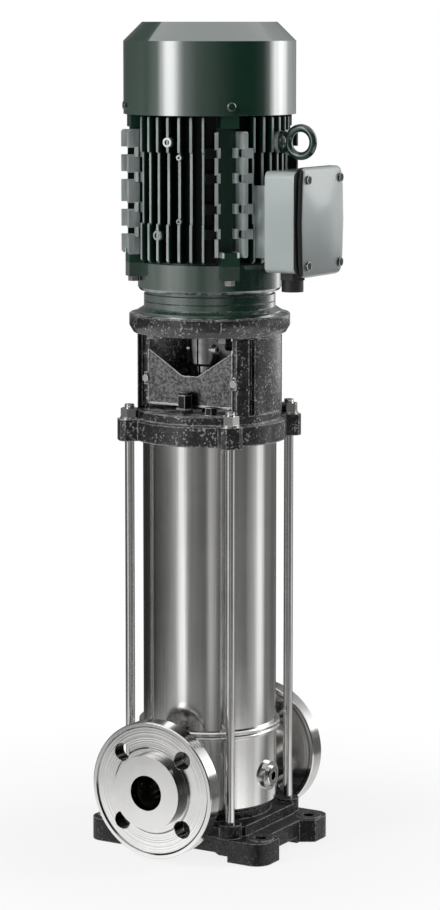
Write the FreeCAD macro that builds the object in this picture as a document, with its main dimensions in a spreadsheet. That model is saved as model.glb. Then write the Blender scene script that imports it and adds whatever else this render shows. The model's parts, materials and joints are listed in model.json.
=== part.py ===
"""Vertical multistage in-line pump with a totally enclosed, fan-cooled motor.

The frame: +Z is up, and the origin is the centre of the four anchor holes, on the floor.
The inlet flange faces -Y, the outlet flange +Y and the terminal box +X. Lengths are millimetres.
"""
import FreeCAD
import Part
import Sketcher
import math
import os
import re

Vector = FreeCAD.Vector
Rotation = FreeCAD.Rotation
Placement = FreeCAD.Placement

DRIVING = {
    # cast foot
    "base_length": 210, "base_width": 145, "base_corner": 16, "foot_thickness": 23,
    "side_notch": 14, "side_notch_half": 38, "end_notch": 7, "end_notch_half": 54,
    "notch_slope": 9, "arch_height": 6, "arch_margin": 26,
    "anchor_spacing_long": 180, "anchor_spacing_short": 100, "anchor_hole_radius": 6.5,
    "anchor_pad_radius": 13, "anchor_pad_height": 1,
    "pedestal_length": 146, "pedestal_width": 140, "pedestal_rise": 10.5, "pedestal_corner": 20,
    "seat_radius": 64, "seat_rise": 8, "socket_radius": 11.5, "socket_rise": 3,
    # pressed casing with its two ports
    "port_height": 75, "face_to_face": 250, "port_bore_radius": 18, "stub_wall": 3,
    "collar_radius": 38, "collar_thickness": 10, "casing_radius": 69.5, "casing_wall": 3,
    "casing_depth": 86.5, "casing_edge": 5, "bead_proud": 3.7, "bead_height": 10,
    "bead_groove": 1.2, "drain_boss_radius": 15, "drain_boss_proud": 4,
    "drain_thread_radius": 6.5, "drain_thread_length": 9, "drain_socket": 9,
    "drain_socket_depth": 6, "drain_collar_radius": 10.5, "drain_collar": 3,
    # loose flanges
    "flange_radius": 70, "flange_thickness": 18, "flange_bolt_circle": 100,
    "flange_hole_radius": 9, "flange_rim": 4, "flange_dish": 1.6, "flange_hub": 5,
    "flange_clearance": 0.4, "bevel": 1,
    # intake chamber and stage stack
    "chamber_radius": 50, "chamber_wall": 2, "stage_count": 10, "stage_pitch": 27,
    "stage_radius": 59, "stage_wall": 1.5, "suction_plate": 3, "discharge_height": 10,
    "discharge_slots": 6, "discharge_slot_width": 16,
    "impeller_radius": 46, "impeller_width": 12, "shroud": 1.5, "eye_radius": 17,
    "eye_wall": 1.5, "eye_length": 8, "hub_radius": 11, "vane_count": 6, "vane_thickness": 2,
    "vane_curve": 34, "impeller_lift": 9.5, "running_gap": 0.5,
    # shaft and seal
    "shaft_radius": 8, "shaft_foot": 118, "fit": 0.02, "bush_radius": 13, "bush_gap": 0.06,
    "seal_ring_radius": 14, "seal_ring_height": 7, "seal_seat_height": 8,
    "seal_spring_radius": 11.6, "seal_spring_wire": 1.1, "seal_spring_turns": 3,
    "seal_collar_height": 8,
    # sleeve, head cover and tie rods
    "sleeve_radius": 68.6, "sleeve_wall": 1.5, "sleeve_seat": 5, "seat_gap": 0.1,
    "cover_thickness": 10, "chamber_bore": 18, "chamber_neck_radius": 31,
    "chamber_neck_height": 27, "chamber_roof": 4, "oring_wire": 1.6,
    "rod_circle": 84.3, "rod_radius": 4.8, "rod_engagement": 20, "nut_hexagon": 16,
    "nut_height": 9, "washer_radius": 9.6, "washer_thickness": 2, "rod_tip": 4,
    # lantern
    "lantern_flange_radius": 79, "lantern_flange_height": 22, "lobe_reach": 95.5,
    "lobe_half_width": 11, "lobe_corner": 4, "lantern_height": 129, "lantern_radius": 74,
    "lantern_wall": 12, "lantern_flat": 70.5, "lantern_flat_half": 27, "lantern_floor": 8,
    "lantern_roof": 20, "window_half_width": 58, "ledge_distance": 38, "top_flange_radius": 82.3,
    "top_flange_edge": 12, "groove_width": 7, "groove_depth": 6, "groove_turn": 24,
    "boss_radius": 5, "lantern_boss_proud": 3,
    "vent_distance": 49, "vent_boss_radius": 9, "vent_boss_height": 5, "vent_hexagon": 14,
    "vent_height": 14, "vent_ring_radius": 6, "vent_ring_height": 3, "vent_thread_radius": 4.5,
    "vent_thread_length": 12, "gauge_plug_offset": 30, "gauge_plug_height": 8,
    # coupling and its guards
    "coupling_radius": 24, "coupling_length": 70, "coupling_split": 2, "coupling_flat": 15,
    "coupling_grip": 34, "coupling_lift": 8, "clamp_screw_radius": 3, "clamp_screw_offset": 18,
    "clamp_screw_head": 5, "clamp_screw_spacing": 46, "coupling_waist": 20,
    "guard_half_width": 50, "guard_thickness": 1.5, "guard_foot": 14, "guard_lip": 1.2, "guard_height": 56,
    "guard_valley": 31, "guard_valley_half": 9, "guard_tab_half": 54.5, "guard_tab_height": 13,
    "guard_screw_radius": 2, "guard_screw_head": 3.6, "guard_screw_length": 8,
    "guard_screw_place": 52,
    # motor flange and drive-end shield
    "motor_flange_radius": 73.6, "motor_flange_edge": 3, "motor_cone": 4, "neck_radius": 67.3,
    "neck_height": 13, "spigot_radius": 47.5, "spigot_height": 3, "shield_radius": 73.4,
    "shield_height": 29, "shield_gap": 4, "shield_bore": 50, "shield_floor": 9,
    "motor_bolt_circle": 115, "motor_bolt_radius": 4, "motor_bolt_grip": 10,
    "motor_bolt_hexagon": 13, "motor_bolt_head": 5.5,
    "lug_reach": 86, "lug_half_width": 9, "lug_height": 14, "lug_circle": 79.5,
    "lug_screw_radius": 3, "lug_screw_hexagon": 10, "lug_screw_head": 5,
    # motor frame
    "frame_length": 150, "frame_bore": 61, "frame_wall": 6, "fin_tip": 82, "fin_gaps": 4,
    "fin_thickness": 2.6, "fin_end": 3, "band_start": 41, "band_end": 113, "band_depth": 2.5,
    "rail_reach": 90, "rail_thickness": 3.6, "rail_spread": 9.8, "rail_start": 9,
    "rail_end": 134, "rail_bevel": 2, "rail_middle": 72.2, "slot_near": 15.2,
    "slot_far": 40.2, "slot_half": 4, "slot_depth": 16, "rail_boss_half": 5,
    "rail_boss_depth": 3.5, "rail_tab_reach": 83,
    "rail_tab_depth": 10, "frame_lug_height": 14, "rear_lug_height": 13,
    "pedestal_half_y": 34, "pedestal_foot": 8, "pedestal_head": 80, "box_distance": 88,
    "eye_height": 122.7, "eye_boss_radius": 11, "eye_boss_reach": 86,
    # motor insides
    "stator_bore": 38, "stator_length": 90, "stator_start": 30, "winding_radius": 54,
    "winding_height": 20, "winding_bore": 42, "rotor_gap": 0.5, "motor_shaft_radius": 12,
    "journal_radius": 12.5, "shaft_extension": 50, "fan_seat_radius": 9,
    "bearing_radius": 26, "bearing_width": 15, "race_thickness": 4, "ball_count": 9,
    "ball_gap": 0.05, "shield_plate": 7, "rear_hub_height": 16,
    # fan and fan cover
    "fan_radius": 72, "fan_hub_radius": 17, "fan_lift": 24, "fan_disc": 3, "fan_blade": 26,
    "fan_blade_thickness": 2.5, "fan_blade_root": 30, "fan_blades": 7,
    "cover_radius": 87.6, "cover_wall": 1.5, "cover_height": 92, "cover_chamfer": 19,
    "cover_lap": 0.5, "grille_slot": 4.5, "grille_inner": 14, "grille_outer": 60,
    "grille_slots": 24, "grille_band": 37, "cover_screw_height": 9, "cover_screw_radius": 2,
    "cover_screw_head": 4.5, "cover_screw_cap": 2.5, "cover_ear_half": 7, "cover_ear_rise": 5,
    "cover_ear_gap": 0.5,
    # terminal box
    "box_half_width": 41, "box_height": 101, "box_foot": -6, "box_depth": 33, "box_wall": 3,
    "box_corner": 7, "gasket_thickness": 2, "gasket_step": 3, "lid_half_width": 45,
    "lid_overlap": 4, "lid_depth": 12, "lid_corner": 9, "lid_edge": 4, "lid_screw_radius": 2.5,
    "lid_screw_head": 4.4, "lid_screw_inset": 8, "lid_screw_cap": 3,
    "wire_hole_radius": 14, "block_height": 44, "block_half_width": 22, "block_depth": 11,
    "stud_radius": 2, "stud_length": 13, "stud_spacing": 14, "gland_thread_radius": 10,
    "gland_hexagon": 24, "gland_height": 8, "gland_cap_radius": 11, "gland_cap_height": 12,
    "gland_bore": 5.5, "gland_offset": 13.5, "blank_height": 5,
    # lifting eye
    "eye_ring_radius": 14, "eye_wire": 4, "eye_collar_radius": 12, "eye_collar": 4,
    "eye_shank_radius": 4, "eye_shank_length": 13,
}

DERIVED = {
    "half_face": "face_to_face / 2",
    "plate_top": "foot_thickness",
    "pedestal_top": "plate_top + pedestal_rise",
    "casing_floor": "pedestal_top + seat_rise",
    "casing_bore": "casing_radius - casing_wall",
    "casing_top": "casing_floor + casing_depth",
    "bead_foot": "casing_top - bead_height",
    "bead_radius": "casing_radius + bead_proud",
    "stub_radius": "port_bore_radius + stub_wall",
    "collar_back": "half_face - collar_thickness",
    "flange_front": "collar_back - flange_clearance",
    "flange_back": "flange_front - flange_thickness",
    "flange_bore": "stub_radius + flange_clearance",
    "flange_hole_place": "flange_bolt_circle / 2",
    "drain_seat": "casing_radius + drain_boss_proud",
    "sleeve_bore": "sleeve_radius - sleeve_wall",
    "sleeve_foot": "casing_top - sleeve_seat",
    "stack_foot": "casing_top + suction_plate",
    "stack_top": "stack_foot + stage_count * stage_pitch",
    "cover_foot": "stack_top + discharge_height",
    "lantern_foot": "cover_foot + cover_thickness",
    "stage_bore": "stage_radius - stage_wall",
    "eye_opening": "eye_radius + eye_wall + running_gap",
    "chamber_neck_top": "lantern_foot + chamber_neck_height",
    "seal_seat_top": "chamber_neck_top - chamber_roof",
    "seal_seat_foot": "seal_seat_top - seal_seat_height",
    "seal_ring_foot": "seal_seat_foot - seal_ring_height",
    "seal_spring_length": "2 * seal_spring_turns * seal_spring_wire * 1.25",
    "spring_foot": "seal_ring_foot - seal_spring_length",
    "lantern_deck": "lantern_foot + lantern_flange_height",
    "lantern_bore": "lantern_radius - lantern_wall",
    "lantern_top": "lantern_foot + lantern_height",
    "window_foot": "lantern_deck + lantern_floor",
    "window_top": "lantern_top - lantern_roof",
    "rod_foot": "plate_top + socket_rise + pedestal_rise - rod_engagement",
    "nut_foot": "lantern_deck + washer_thickness",
    "rod_top": "nut_foot + nut_height + rod_tip",
    "coupling_foot": "chamber_neck_top + coupling_lift",
    "coupling_top": "coupling_foot + coupling_length",
    "coupling_middle": "coupling_foot + coupling_length / 2",
    "motor_shaft_foot": "lantern_top - shaft_extension",
    "shaft_top": "motor_shaft_foot - 2",
    "guard_base": "lantern_deck + guard_foot",
    "guard_screw_height": "guard_base + guard_tab_height * 2",
    "motor_neck_foot": "lantern_top + motor_flange_edge + motor_cone",
    "neck_top": "motor_neck_foot + neck_height",
    "shield_foot": "neck_top + shield_gap",
    "frame_foot": "shield_foot + shield_height",
    "frame_top": "frame_foot + frame_length",
    "frame_radius": "frame_bore + frame_wall",
    "front_bearing_foot": "shield_foot + shield_floor",
    "rear_bearing_foot": "frame_top - rear_hub_height + 1",
    "race_outer": "bearing_radius - race_thickness",
    "race_inner": "journal_radius + race_thickness - 1",
    "ball_radius": "(race_outer - race_inner) / 2 - ball_gap",
    "ball_circle": "(race_outer + race_inner) / 2",
    "shield_top": "frame_top + shield_plate",
    "stator_foot": "frame_foot + stator_start",
    "stator_top": "stator_foot + stator_length",
    "rotor_radius": "stator_bore - rotor_gap",
    "fan_foot": "shield_top + fan_lift - 14",
    "cover_rim": "frame_top - cover_lap",
    "cover_top": "frame_top + cover_height",
    "cover_bore": "cover_radius - cover_wall",
    "cover_flat": "cover_radius - cover_chamfer",
    "box_base": "frame_foot + box_foot",
    "box_top": "box_base + box_height",
    "box_face": "box_distance + box_depth",
    "lid_face": "box_face + gasket_thickness",
    "lid_base": "box_base - lid_overlap",
    "lid_top": "box_top + lid_overlap",
    "eye_level": "frame_foot + eye_height",
}

doc = FreeCAD.newDocument("VerticalPump")
sheet = doc.addObject("Spreadsheet::Sheet", "Sizes")
parts = []


def fill_sheet():
    """Names in column A, driving values and formulas in column B under those names."""
    rows = [(name, str(value)) for name, value in DRIVING.items()]
    rows += [(name, "=" + formula) for name, formula in DERIVED.items()]
    for row, (name, cell) in enumerate(rows, start=1):
        sheet.set("A%d" % row, name)
        sheet.set("B%d" % row, cell)
        sheet.setAlias("B%d" % row, name)
    doc.recompute()


def size(name):
    """The value of one named cell."""
    return float(sheet.get(name))


def number(expression):
    """The value of a sum of products of cell names and numbers, such as '2 * wall - gap'."""
    total = 0.0
    for sign, term in re.findall(r"([+-]?)\s*([^+-]+)", expression):
        product = 1.0
        for operator, word in re.findall(r"([*/]?)\s*([\w.]+)", term):
            value = size(word) if word[0].isalpha() else float(word)
            product = product / value if operator == "/" else product * value
        total += -product if sign == "-" else product
    return total


def cells(expression):
    """The same expression as the document reads it, with the sheet's name before each cell."""
    return re.sub(r"([A-Za-z]\w*)", r"Sizes.\1", expression)


def bind(thing, path, expression):
    thing.setExpression(path, cells(expression))


def new_body(label):
    body = doc.addObject("PartDesign::Body", label)
    body.Label = label
    parts.append(body)
    return body


def datum(body, role):
    """An origin plane or axis of the body, found by its role."""
    return next(item for item in body.Origin.OriginFeatures if item.Role == role)


def new_sketch(body, role="XY_Plane", level="0", turn=0.0):
    """A sketch on an origin plane, lifted by a level and turned about the plane's own axis."""
    sketch = body.newObject("Sketcher::SketchObject", body.Label + "_sketch")
    sketch.AttachmentSupport = (datum(body, role), [""])
    sketch.MapMode = "FlatFace"
    axis = Vector(0, 0, 1) if role == "XY_Plane" else Vector(0, 1, 0)
    sketch.AttachmentOffset = Placement(Vector(0, 0, number(level)), Rotation(axis, turn))
    bind(sketch, "AttachmentOffset.Base.z", level)
    return sketch


def place_point(sketch, geometry, which, across, up):
    """Holds one point of a line or circle at two distances from the sketch's origin."""
    for kind, expression, axis in (("DistanceX", across, -2), ("DistanceY", up, -1)):
        value = number(expression)
        if value == 0 and expression == "0":
            sketch.addConstraint(Sketcher.Constraint("PointOnObject", geometry, which, axis))
        else:
            held = Sketcher.Constraint(kind, -1, 1, geometry, which, value)
            bind(sketch, "Constraints[%d]" % sketch.addConstraint(held), expression)


def draw_outline(sketch, corners):
    """A closed outline of straight lines through corners given as pairs of expressions."""
    points = [Vector(number(across), number(up), 0) for across, up in corners]
    first = sketch.GeometryCount
    for here, there in zip(points, points[1:] + points[:1]):
        sketch.addGeometry(Part.LineSegment(here, there), False)
    for k, (across, up) in enumerate(corners):
        after = first + (k + 1) % len(corners)
        sketch.addConstraint(Sketcher.Constraint("Coincident", first + k, 2, after, 1))
        place_point(sketch, first + k, 1, across, up)
    return sketch


def draw_circle(sketch, across, up, radius):
    centre = Vector(number(across), number(up), 0)
    ring = sketch.addGeometry(Part.Circle(centre, Vector(0, 0, 1), number(radius)), False)
    place_point(sketch, ring, 3, across, up)
    held = Sketcher.Constraint("Radius", ring, number(radius))
    bind(sketch, "Constraints[%d]" % sketch.addConstraint(held), radius)
    return sketch


def draw_hexagon(sketch, across, up, width):
    """A hexagon of the given width across flats, on a construction circle."""
    middle = Vector(number(across), number(up), 0)
    reach = number(width) / math.sqrt(3)
    guide = sketch.addGeometry(Part.Circle(middle, Vector(0, 0, 1), reach), True)
    place_point(sketch, guide, 3, across, up)
    held = Sketcher.Constraint("Diameter", guide, 2 * reach)
    constraint = sketch.addConstraint(held)
    sketch.setExpression("Constraints[%d]" % constraint, "(%s) * 2 / sqrt(3)" % cells(width))
    turns = [math.radians(60 * k) for k in range(6)]
    corners = [middle + Vector(reach * math.cos(a), reach * math.sin(a), 0) for a in turns]
    first = sketch.GeometryCount
    for k in range(6):
        sketch.addGeometry(Part.LineSegment(corners[k], corners[(k + 1) % 6]), False)
    for k in range(6):
        after = first + (k + 1) % 6
        sketch.addConstraint(Sketcher.Constraint("Coincident", first + k, 2, after, 1))
        sketch.addConstraint(Sketcher.Constraint("PointOnObject", first + k, 1, guide))
        if k:
            sketch.addConstraint(Sketcher.Constraint("Equal", first, first + k))
    sketch.addConstraint(Sketcher.Constraint("Horizontal", first + 1))
    return sketch


def draw_rectangle(sketch, left, right, low, high):
    return draw_outline(sketch, [(left, low), (right, low), (right, high), (left, high)])


def extrude(body, sketch, length, kind="Pad", both=False, backwards=False):
    """A pad or pocket of a sketch; a pocket cuts against the plane's direction."""
    feature = body.newObject("PartDesign::" + kind, body.Label + "_" + kind.lower())
    feature.Profile = sketch
    feature.SideType = "Symmetric" if both else "One side"
    feature.Reversed = backwards
    bind(feature, "Length", length)
    body.Tip = feature
    return feature


def revolve_sketch(body, sketch, kind="Revolution", axis="V_Axis"):
    feature = body.newObject("PartDesign::" + kind, body.Label + "_" + kind.lower())
    feature.Profile = sketch
    feature.ReferenceAxis = (sketch, [axis])
    feature.Angle = 360
    body.Tip = feature
    return feature


def revolve(body, corners, kind="Revolution"):
    """Turns an outline of (radius, level) corners about the body's upright axis."""
    return revolve_sketch(body, draw_outline(new_sketch(body, "XZ_Plane"), corners), kind)


def turned(label, corners):
    body = new_body(label)
    revolve(body, corners)
    return body


def around(body, features, count):
    """Repeats features evenly about the body's upright axis."""
    pattern = body.newObject("PartDesign::PolarPattern", body.Label + "_pattern")
    pattern.Originals = features
    pattern.Axis = (datum(body, "Z_Axis"), [""])
    pattern.Angle = 360
    bind(pattern, "Occurrences", count)
    body.Tip = pattern
    return pattern


def ringed(label, radius_in, radius_out, foot, top):
    """A plain round ring or tube."""
    corners = [(radius_in, foot), (radius_out, foot), (radius_out, top), (radius_in, top)]
    return turned(label, corners)


def edges_that(feature, test):
    """Names of the edges whose middle and direction pass a test."""
    doc.recompute()
    names = []
    for index, edge in enumerate(feature.Shape.Edges, start=1):
        ends = [vertex.Point for vertex in edge.Vertexes]
        if len(ends) == 2 and test((ends[0] + ends[1]) * 0.5, ends[1] - ends[0]):
            names.append("Edge%d" % index)
    return names


def is_upright(run):
    return abs(run.z) > 1 and abs(run.x) + abs(run.y) < 1e-6


def round_edges(body, feature, names, radius):
    fillet = body.newObject("PartDesign::Fillet", body.Label + "_fillet")
    fillet.Base = (feature, names)
    bind(fillet, "Radius", radius)
    body.Tip = fillet
    return fillet


def aim(body, axis, degrees, level=None, level_axis="z"):
    """Turns a body about an origin axis and lifts it to a named level."""
    body.Placement = Placement(Vector(0, 0, 0), Rotation(axis, degrees))
    if level:
        bind(body, "Placement.Base." + level_axis, level)


# Cast foot


def foot_outline():
    """Rounded plate with one shallow notch in each side; half sizes from the origin."""
    end, side = "base_length / 2", "base_width / 2"
    end_in, side_in = end + " - side_notch", side + " - end_notch"
    long_out, long_in = "side_notch_half", "side_notch_half - notch_slope"
    wide_out, wide_in = "end_notch_half", "end_notch_half - notch_slope"
    quarter = [(end_in, long_in), (end, long_out), (end, side), (wide_out, side),
               (wide_in, side_in)]

    def flip(expression):
        swapped = re.sub(r" - ", " # ", expression).replace(" + ", " - ").replace(" # ", " + ")
        return "-" + swapped

    corners = list(quarter)
    corners += [(flip(x), y) for x, y in reversed(quarter)]
    corners += [(flip(x), flip(y)) for x, y in quarter]
    corners += [(x, flip(y)) for x, y in reversed(quarter)]
    return corners


def make_base():
    body = new_body("base_plate")
    plate = extrude(body, draw_outline(new_sketch(body), foot_outline()), "foot_thickness")
    corner = edges_that(plate, lambda middle, run: is_upright(run)
                        and abs(middle.x) > size("base_length") / 2 - 1
                        and abs(middle.y) > size("base_width") / 2 - 1)
    round_edges(body, plate, corner, "base_corner")
    pedestal = new_sketch(body, level="plate_top")
    half_x, half_y = "pedestal_length / 2", "pedestal_width / 2"
    cut_x, cut_y = half_x + " - pedestal_corner", half_y + " - pedestal_corner"
    draw_outline(pedestal, [
        (half_x, "-" + half_y + " + pedestal_corner"), (half_x, cut_y), (cut_x, half_y),
        ("-" + half_x + " + pedestal_corner", half_y), ("-" + half_x, cut_y),
        ("-" + half_x, "-" + half_y + " + pedestal_corner"),
        ("-" + half_x + " + pedestal_corner", "-" + half_y), (cut_x, "-" + half_y)])
    extrude(body, pedestal, "pedestal_rise")
    extrude(body, draw_circle(new_sketch(body, level="pedestal_top"), "0", "0", "seat_radius"),
            "seat_rise")
    socket = new_sketch(body, level="plate_top", turn=45)
    boss = extrude(body, draw_circle(socket, "rod_circle", "0", "socket_radius"),
                   "pedestal_rise + socket_rise")
    around(body, [boss], "4")
    hole = new_sketch(body, level="pedestal_top + socket_rise", turn=45)
    drilled = extrude(body, draw_circle(hole, "rod_circle", "0", "rod_radius + fit"),
                      "rod_engagement", "Pocket")
    around(body, [drilled], "4")
    for across in ("anchor_spacing_long / 2", "-anchor_spacing_long / 2"):
        for along in ("anchor_spacing_short / 2", "-anchor_spacing_short / 2"):
            pad = new_sketch(body, level="plate_top")
            extrude(body, draw_circle(pad, across, along, "anchor_pad_radius"),
                    "anchor_pad_height")
            bolt = new_sketch(body, level="plate_top + anchor_pad_height")
            extrude(body, draw_circle(bolt, across, along, "anchor_hole_radius"),
                    "foot_thickness + anchor_pad_height", "Pocket")
    arch = new_sketch(body)
    draw_rectangle(arch, "-base_length / 2 - 1", "base_length / 2 + 1",
                   "-anchor_spacing_short / 2 + arch_margin",
                   "anchor_spacing_short / 2 - arch_margin")
    extrude(body, arch, "arch_height", "Pocket", backwards=True)
    arch = new_sketch(body)
    draw_rectangle(arch, "-anchor_spacing_long / 2 + arch_margin",
                   "anchor_spacing_long / 2 - arch_margin",
                   "-base_width / 2 - 1", "base_width / 2 + 1")
    extrude(body, arch, "arch_height", "Pocket", backwards=True)


# Pressed casing, intake chamber and loose flanges


def make_casing():
    body = new_body("port_casing")
    revolve(body, [
        ("0", "casing_floor"), ("casing_radius - casing_edge", "casing_floor"),
        ("casing_radius", "casing_floor + casing_edge"), ("casing_radius", "bead_foot"),
        ("bead_radius", "bead_foot + bead_groove"),
        ("bead_radius", "bead_foot + bead_height / 2 - bead_groove"),
        ("bead_radius - bead_groove", "bead_foot + bead_height / 2"),
        ("bead_radius", "bead_foot + bead_height / 2 + bead_groove"),
        ("bead_radius", "casing_top - bead_groove"),
        ("bead_radius - bead_groove", "casing_top"), ("0", "casing_top")])
    stub = draw_circle(new_sketch(body, "XZ_Plane"), "0", "port_height", "stub_radius")
    extrude(body, stub, "face_to_face", both=True)
    collar = new_sketch(body, "XZ_Plane", "collar_back")
    raised = extrude(body, draw_circle(collar, "0", "port_height", "collar_radius"),
                     "collar_thickness")
    around(body, [raised], "2")
    boss = new_sketch(body, "YZ_Plane")
    extrude(body, draw_circle(boss, "0", "port_height", "drain_boss_radius"), "drain_seat")
    revolve(body, [
        ("0", "casing_floor + casing_wall"), ("casing_bore", "casing_floor + casing_wall"),
        ("casing_bore", "sleeve_foot"), ("sleeve_radius + seat_gap", "sleeve_foot"),
        ("sleeve_radius + seat_gap", "casing_top"), ("0", "casing_top")], "Groove")
    bore = draw_circle(new_sketch(body, "XZ_Plane"), "0", "port_height", "port_bore_radius")
    extrude(body, bore, "face_to_face + 2", "Pocket", both=True)
    thread = new_sketch(body, "YZ_Plane", "drain_seat")
    extrude(body, draw_circle(thread, "0", "port_height", "drain_thread_radius + fit"),
            "drain_boss_proud + 2 * casing_wall", "Pocket")


def make_intake_chamber():
    """Cup inside the casing that leads the inlet port to the first impeller's eye."""
    body = new_body("intake_chamber")
    floor = "casing_floor + casing_wall + seat_gap"
    revolve(body, [("0", floor), ("chamber_radius", floor), ("chamber_radius", "casing_top"),
                   ("0", "casing_top")])
    spout = new_sketch(body, "XZ_Plane", "chamber_radius - 2 * chamber_wall")
    draw_circle(spout, "0", "port_height", "port_bore_radius + chamber_wall")
    extrude(body, spout, "casing_bore - chamber_radius - seat_gap")
    inner = "casing_floor + casing_wall + seat_gap + chamber_wall"
    inside = "chamber_radius - chamber_wall"
    revolve(body, [("0", inner), (inside, inner), (inside, "casing_top"), ("0", "casing_top")],
            "Groove")
    bore = draw_circle(new_sketch(body, "XZ_Plane", "casing_bore"), "0", "port_height",
                       "port_bore_radius")
    extrude(body, bore, "casing_bore", "Pocket")


def make_flange(label, degrees):
    """Loose ring behind the raised collar, made upright and then aimed along its port."""
    dish = "flange_front - flange_dish"
    body = turned(label, [
        ("flange_bore", "flange_back"), ("flange_radius - 1", "flange_back"),
        ("flange_radius", "flange_back + 1"), ("flange_radius", "flange_front - 1"),
        ("flange_radius - 1", "flange_front"), ("flange_radius - flange_rim", "flange_front"),
        ("flange_radius - flange_rim - flange_dish", dish),
        ("collar_radius + flange_hub + flange_dish", dish),
        ("collar_radius + flange_hub", "flange_front"), ("flange_bore", "flange_front")])
    hole = new_sketch(body, level="flange_front", turn=45)
    drilled = extrude(body, draw_circle(hole, "flange_hole_place", "0", "flange_hole_radius"),
                      "flange_thickness", "Pocket")
    around(body, [drilled], "4")
    aim(body, Vector(1, 0, 0), degrees, "port_height")


def make_drain_plug():
    """Round plug with a hexagon socket, screwed into the boss on the casing."""
    body = turned("drain_plug", [
        ("0", "drain_seat - drain_thread_length"),
        ("drain_thread_radius", "drain_seat - drain_thread_length"),
        ("drain_thread_radius", "drain_seat"), ("drain_collar_radius", "drain_seat"),
        ("drain_collar_radius", "drain_seat + drain_collar - bevel"),
        ("drain_collar_radius - bevel", "drain_seat + drain_collar"),
        ("0", "drain_seat + drain_collar")])
    socket = new_sketch(body, level="drain_seat + drain_collar")
    draw_hexagon(socket, "0", "0", "drain_socket")
    extrude(body, socket, "drain_socket_depth", "Pocket")
    aim(body, Vector(0, 1, 0), 90, "port_height")


# Stages


def make_suction_plate():
    ringed("suction_plate", "eye_opening", "stage_radius", "casing_top", "stack_foot")


def make_stage_bowls():
    """Pressed bowls stacked on one another, each with a floor round the next impeller's eye."""
    body = new_body("stage_bowls")
    roof = "stack_foot + stage_pitch - 2 * stage_wall"
    bowl = revolve(body, [
        ("stage_bore", "stack_foot + fit"), ("stage_radius", "stack_foot + fit"),
        ("stage_radius", "stack_foot + stage_pitch"), ("eye_opening", "stack_foot + stage_pitch"),
        ("eye_opening", "stack_foot + stage_pitch - stage_wall"),
        ("impeller_radius", roof), ("stage_bore", roof)])
    stack = body.newObject("PartDesign::LinearPattern", "stage_bowls_stack")
    stack.Originals = [bowl]
    stack.Direction = (datum(body, "Z_Axis"), [""])
    bind(stack, "Length", "stage_pitch * stage_count - stage_pitch")
    bind(stack, "Occurrences", "stage_count")
    body.Tip = stack


def vane_points():
    """Start, middle and end of a backward-curved vane's centre line, as plane vectors."""
    start = Vector(size("eye_radius") + 1, 0, 0)
    reach = size("impeller_radius") - 0.5
    sweep = math.radians(-75)
    end = Vector(reach * math.cos(sweep), reach * math.sin(sweep), 0)
    bulge = (end - start).cross(Vector(0, 0, 1)).normalize() * -size("vane_curve") / 4
    return start, (start + end) * 0.5 + bulge, end


def vane_solid(height):
    """One vane: a strip of constant thickness along an arc, raised to its height."""
    start, middle, end = vane_points()
    spine = Part.Arc(start, middle, end).toShape().Curve
    centre = spine.Center
    half = size("vane_thickness") / 2
    sides = []
    for offset in (-half, half):
        moved = [centre + (p - centre) * ((spine.Radius + offset) / spine.Radius)
                 for p in (start, middle, end)]
        sides.append(Part.Arc(*moved).toShape())
    caps = [Part.makeLine(sides[0].Vertexes[k].Point, sides[1].Vertexes[k].Point)
            for k in (0, 1)]
    face = Part.Face(Part.Wire(Part.__sortEdges__([sides[0], caps[1], sides[1], caps[0]])))
    return face.extrude(Vector(0, 0, height))


def impeller_shape():
    """Closed impeller, eye down: two shrouds, a hub, the eye's neck and the vanes."""
    shroud, width = size("shroud"), size("impeller_width")
    reach, eye = size("impeller_radius"), size("eye_radius")
    bore = size("shaft_radius") + size("fit")
    hub = size("hub_radius")
    neck = [(eye, -size("eye_length")), (eye + size("eye_wall"), -size("eye_length")),
            (eye + size("eye_wall"), 0), (reach, 0), (reach, shroud), (eye, shroud)]
    back = [(bore, -2), (hub, -2), (hub + 2, width - shroud), (reach, width - shroud),
            (reach, width), (hub + 2, width), (hub, width + 3), (bore, width + 3)]
    shape = None
    for outline in (neck, back):
        points = [Vector(radius, 0, level) for radius, level in outline]
        disc = Part.Face(Part.makePolygon(points + points[:1]))
        disc = disc.revolve(Vector(0, 0, 0), Vector(0, 0, 1), 360)
        shape = disc if shape is None else shape.fuse(disc)
    vane = vane_solid(width - 1.5 * shroud)
    vane.translate(Vector(0, 0, shroud / 2))
    count = int(size("vane_count"))
    for k in range(count):
        turned_vane = vane.copy()
        turned_vane.rotate(Vector(0, 0, 0), Vector(0, 0, 1), 360 * k / count)
        shape = shape.fuse(turned_vane)
    return shape.removeSplitter()


def make_impellers():
    """One impeller to each stage, all alike, as separate solids of one group."""
    shape = impeller_shape()
    copies = []
    for k in range(int(size("stage_count"))):
        copies.append(shape.copy())
        copies[-1].translate(Vector(0, 0, k * size("stage_pitch")))
    impellers = doc.addObject("Part::Feature", "impellers")
    impellers.Label = "impellers"
    impellers.Shape = Part.makeCompound(copies)
    impellers.Placement = Placement(Vector(0, 0, number("stack_foot + impeller_lift")), Rotation())
    bind(impellers, "Placement.Base.z", "stack_foot + impeller_lift")
    parts.append(impellers)


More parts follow.
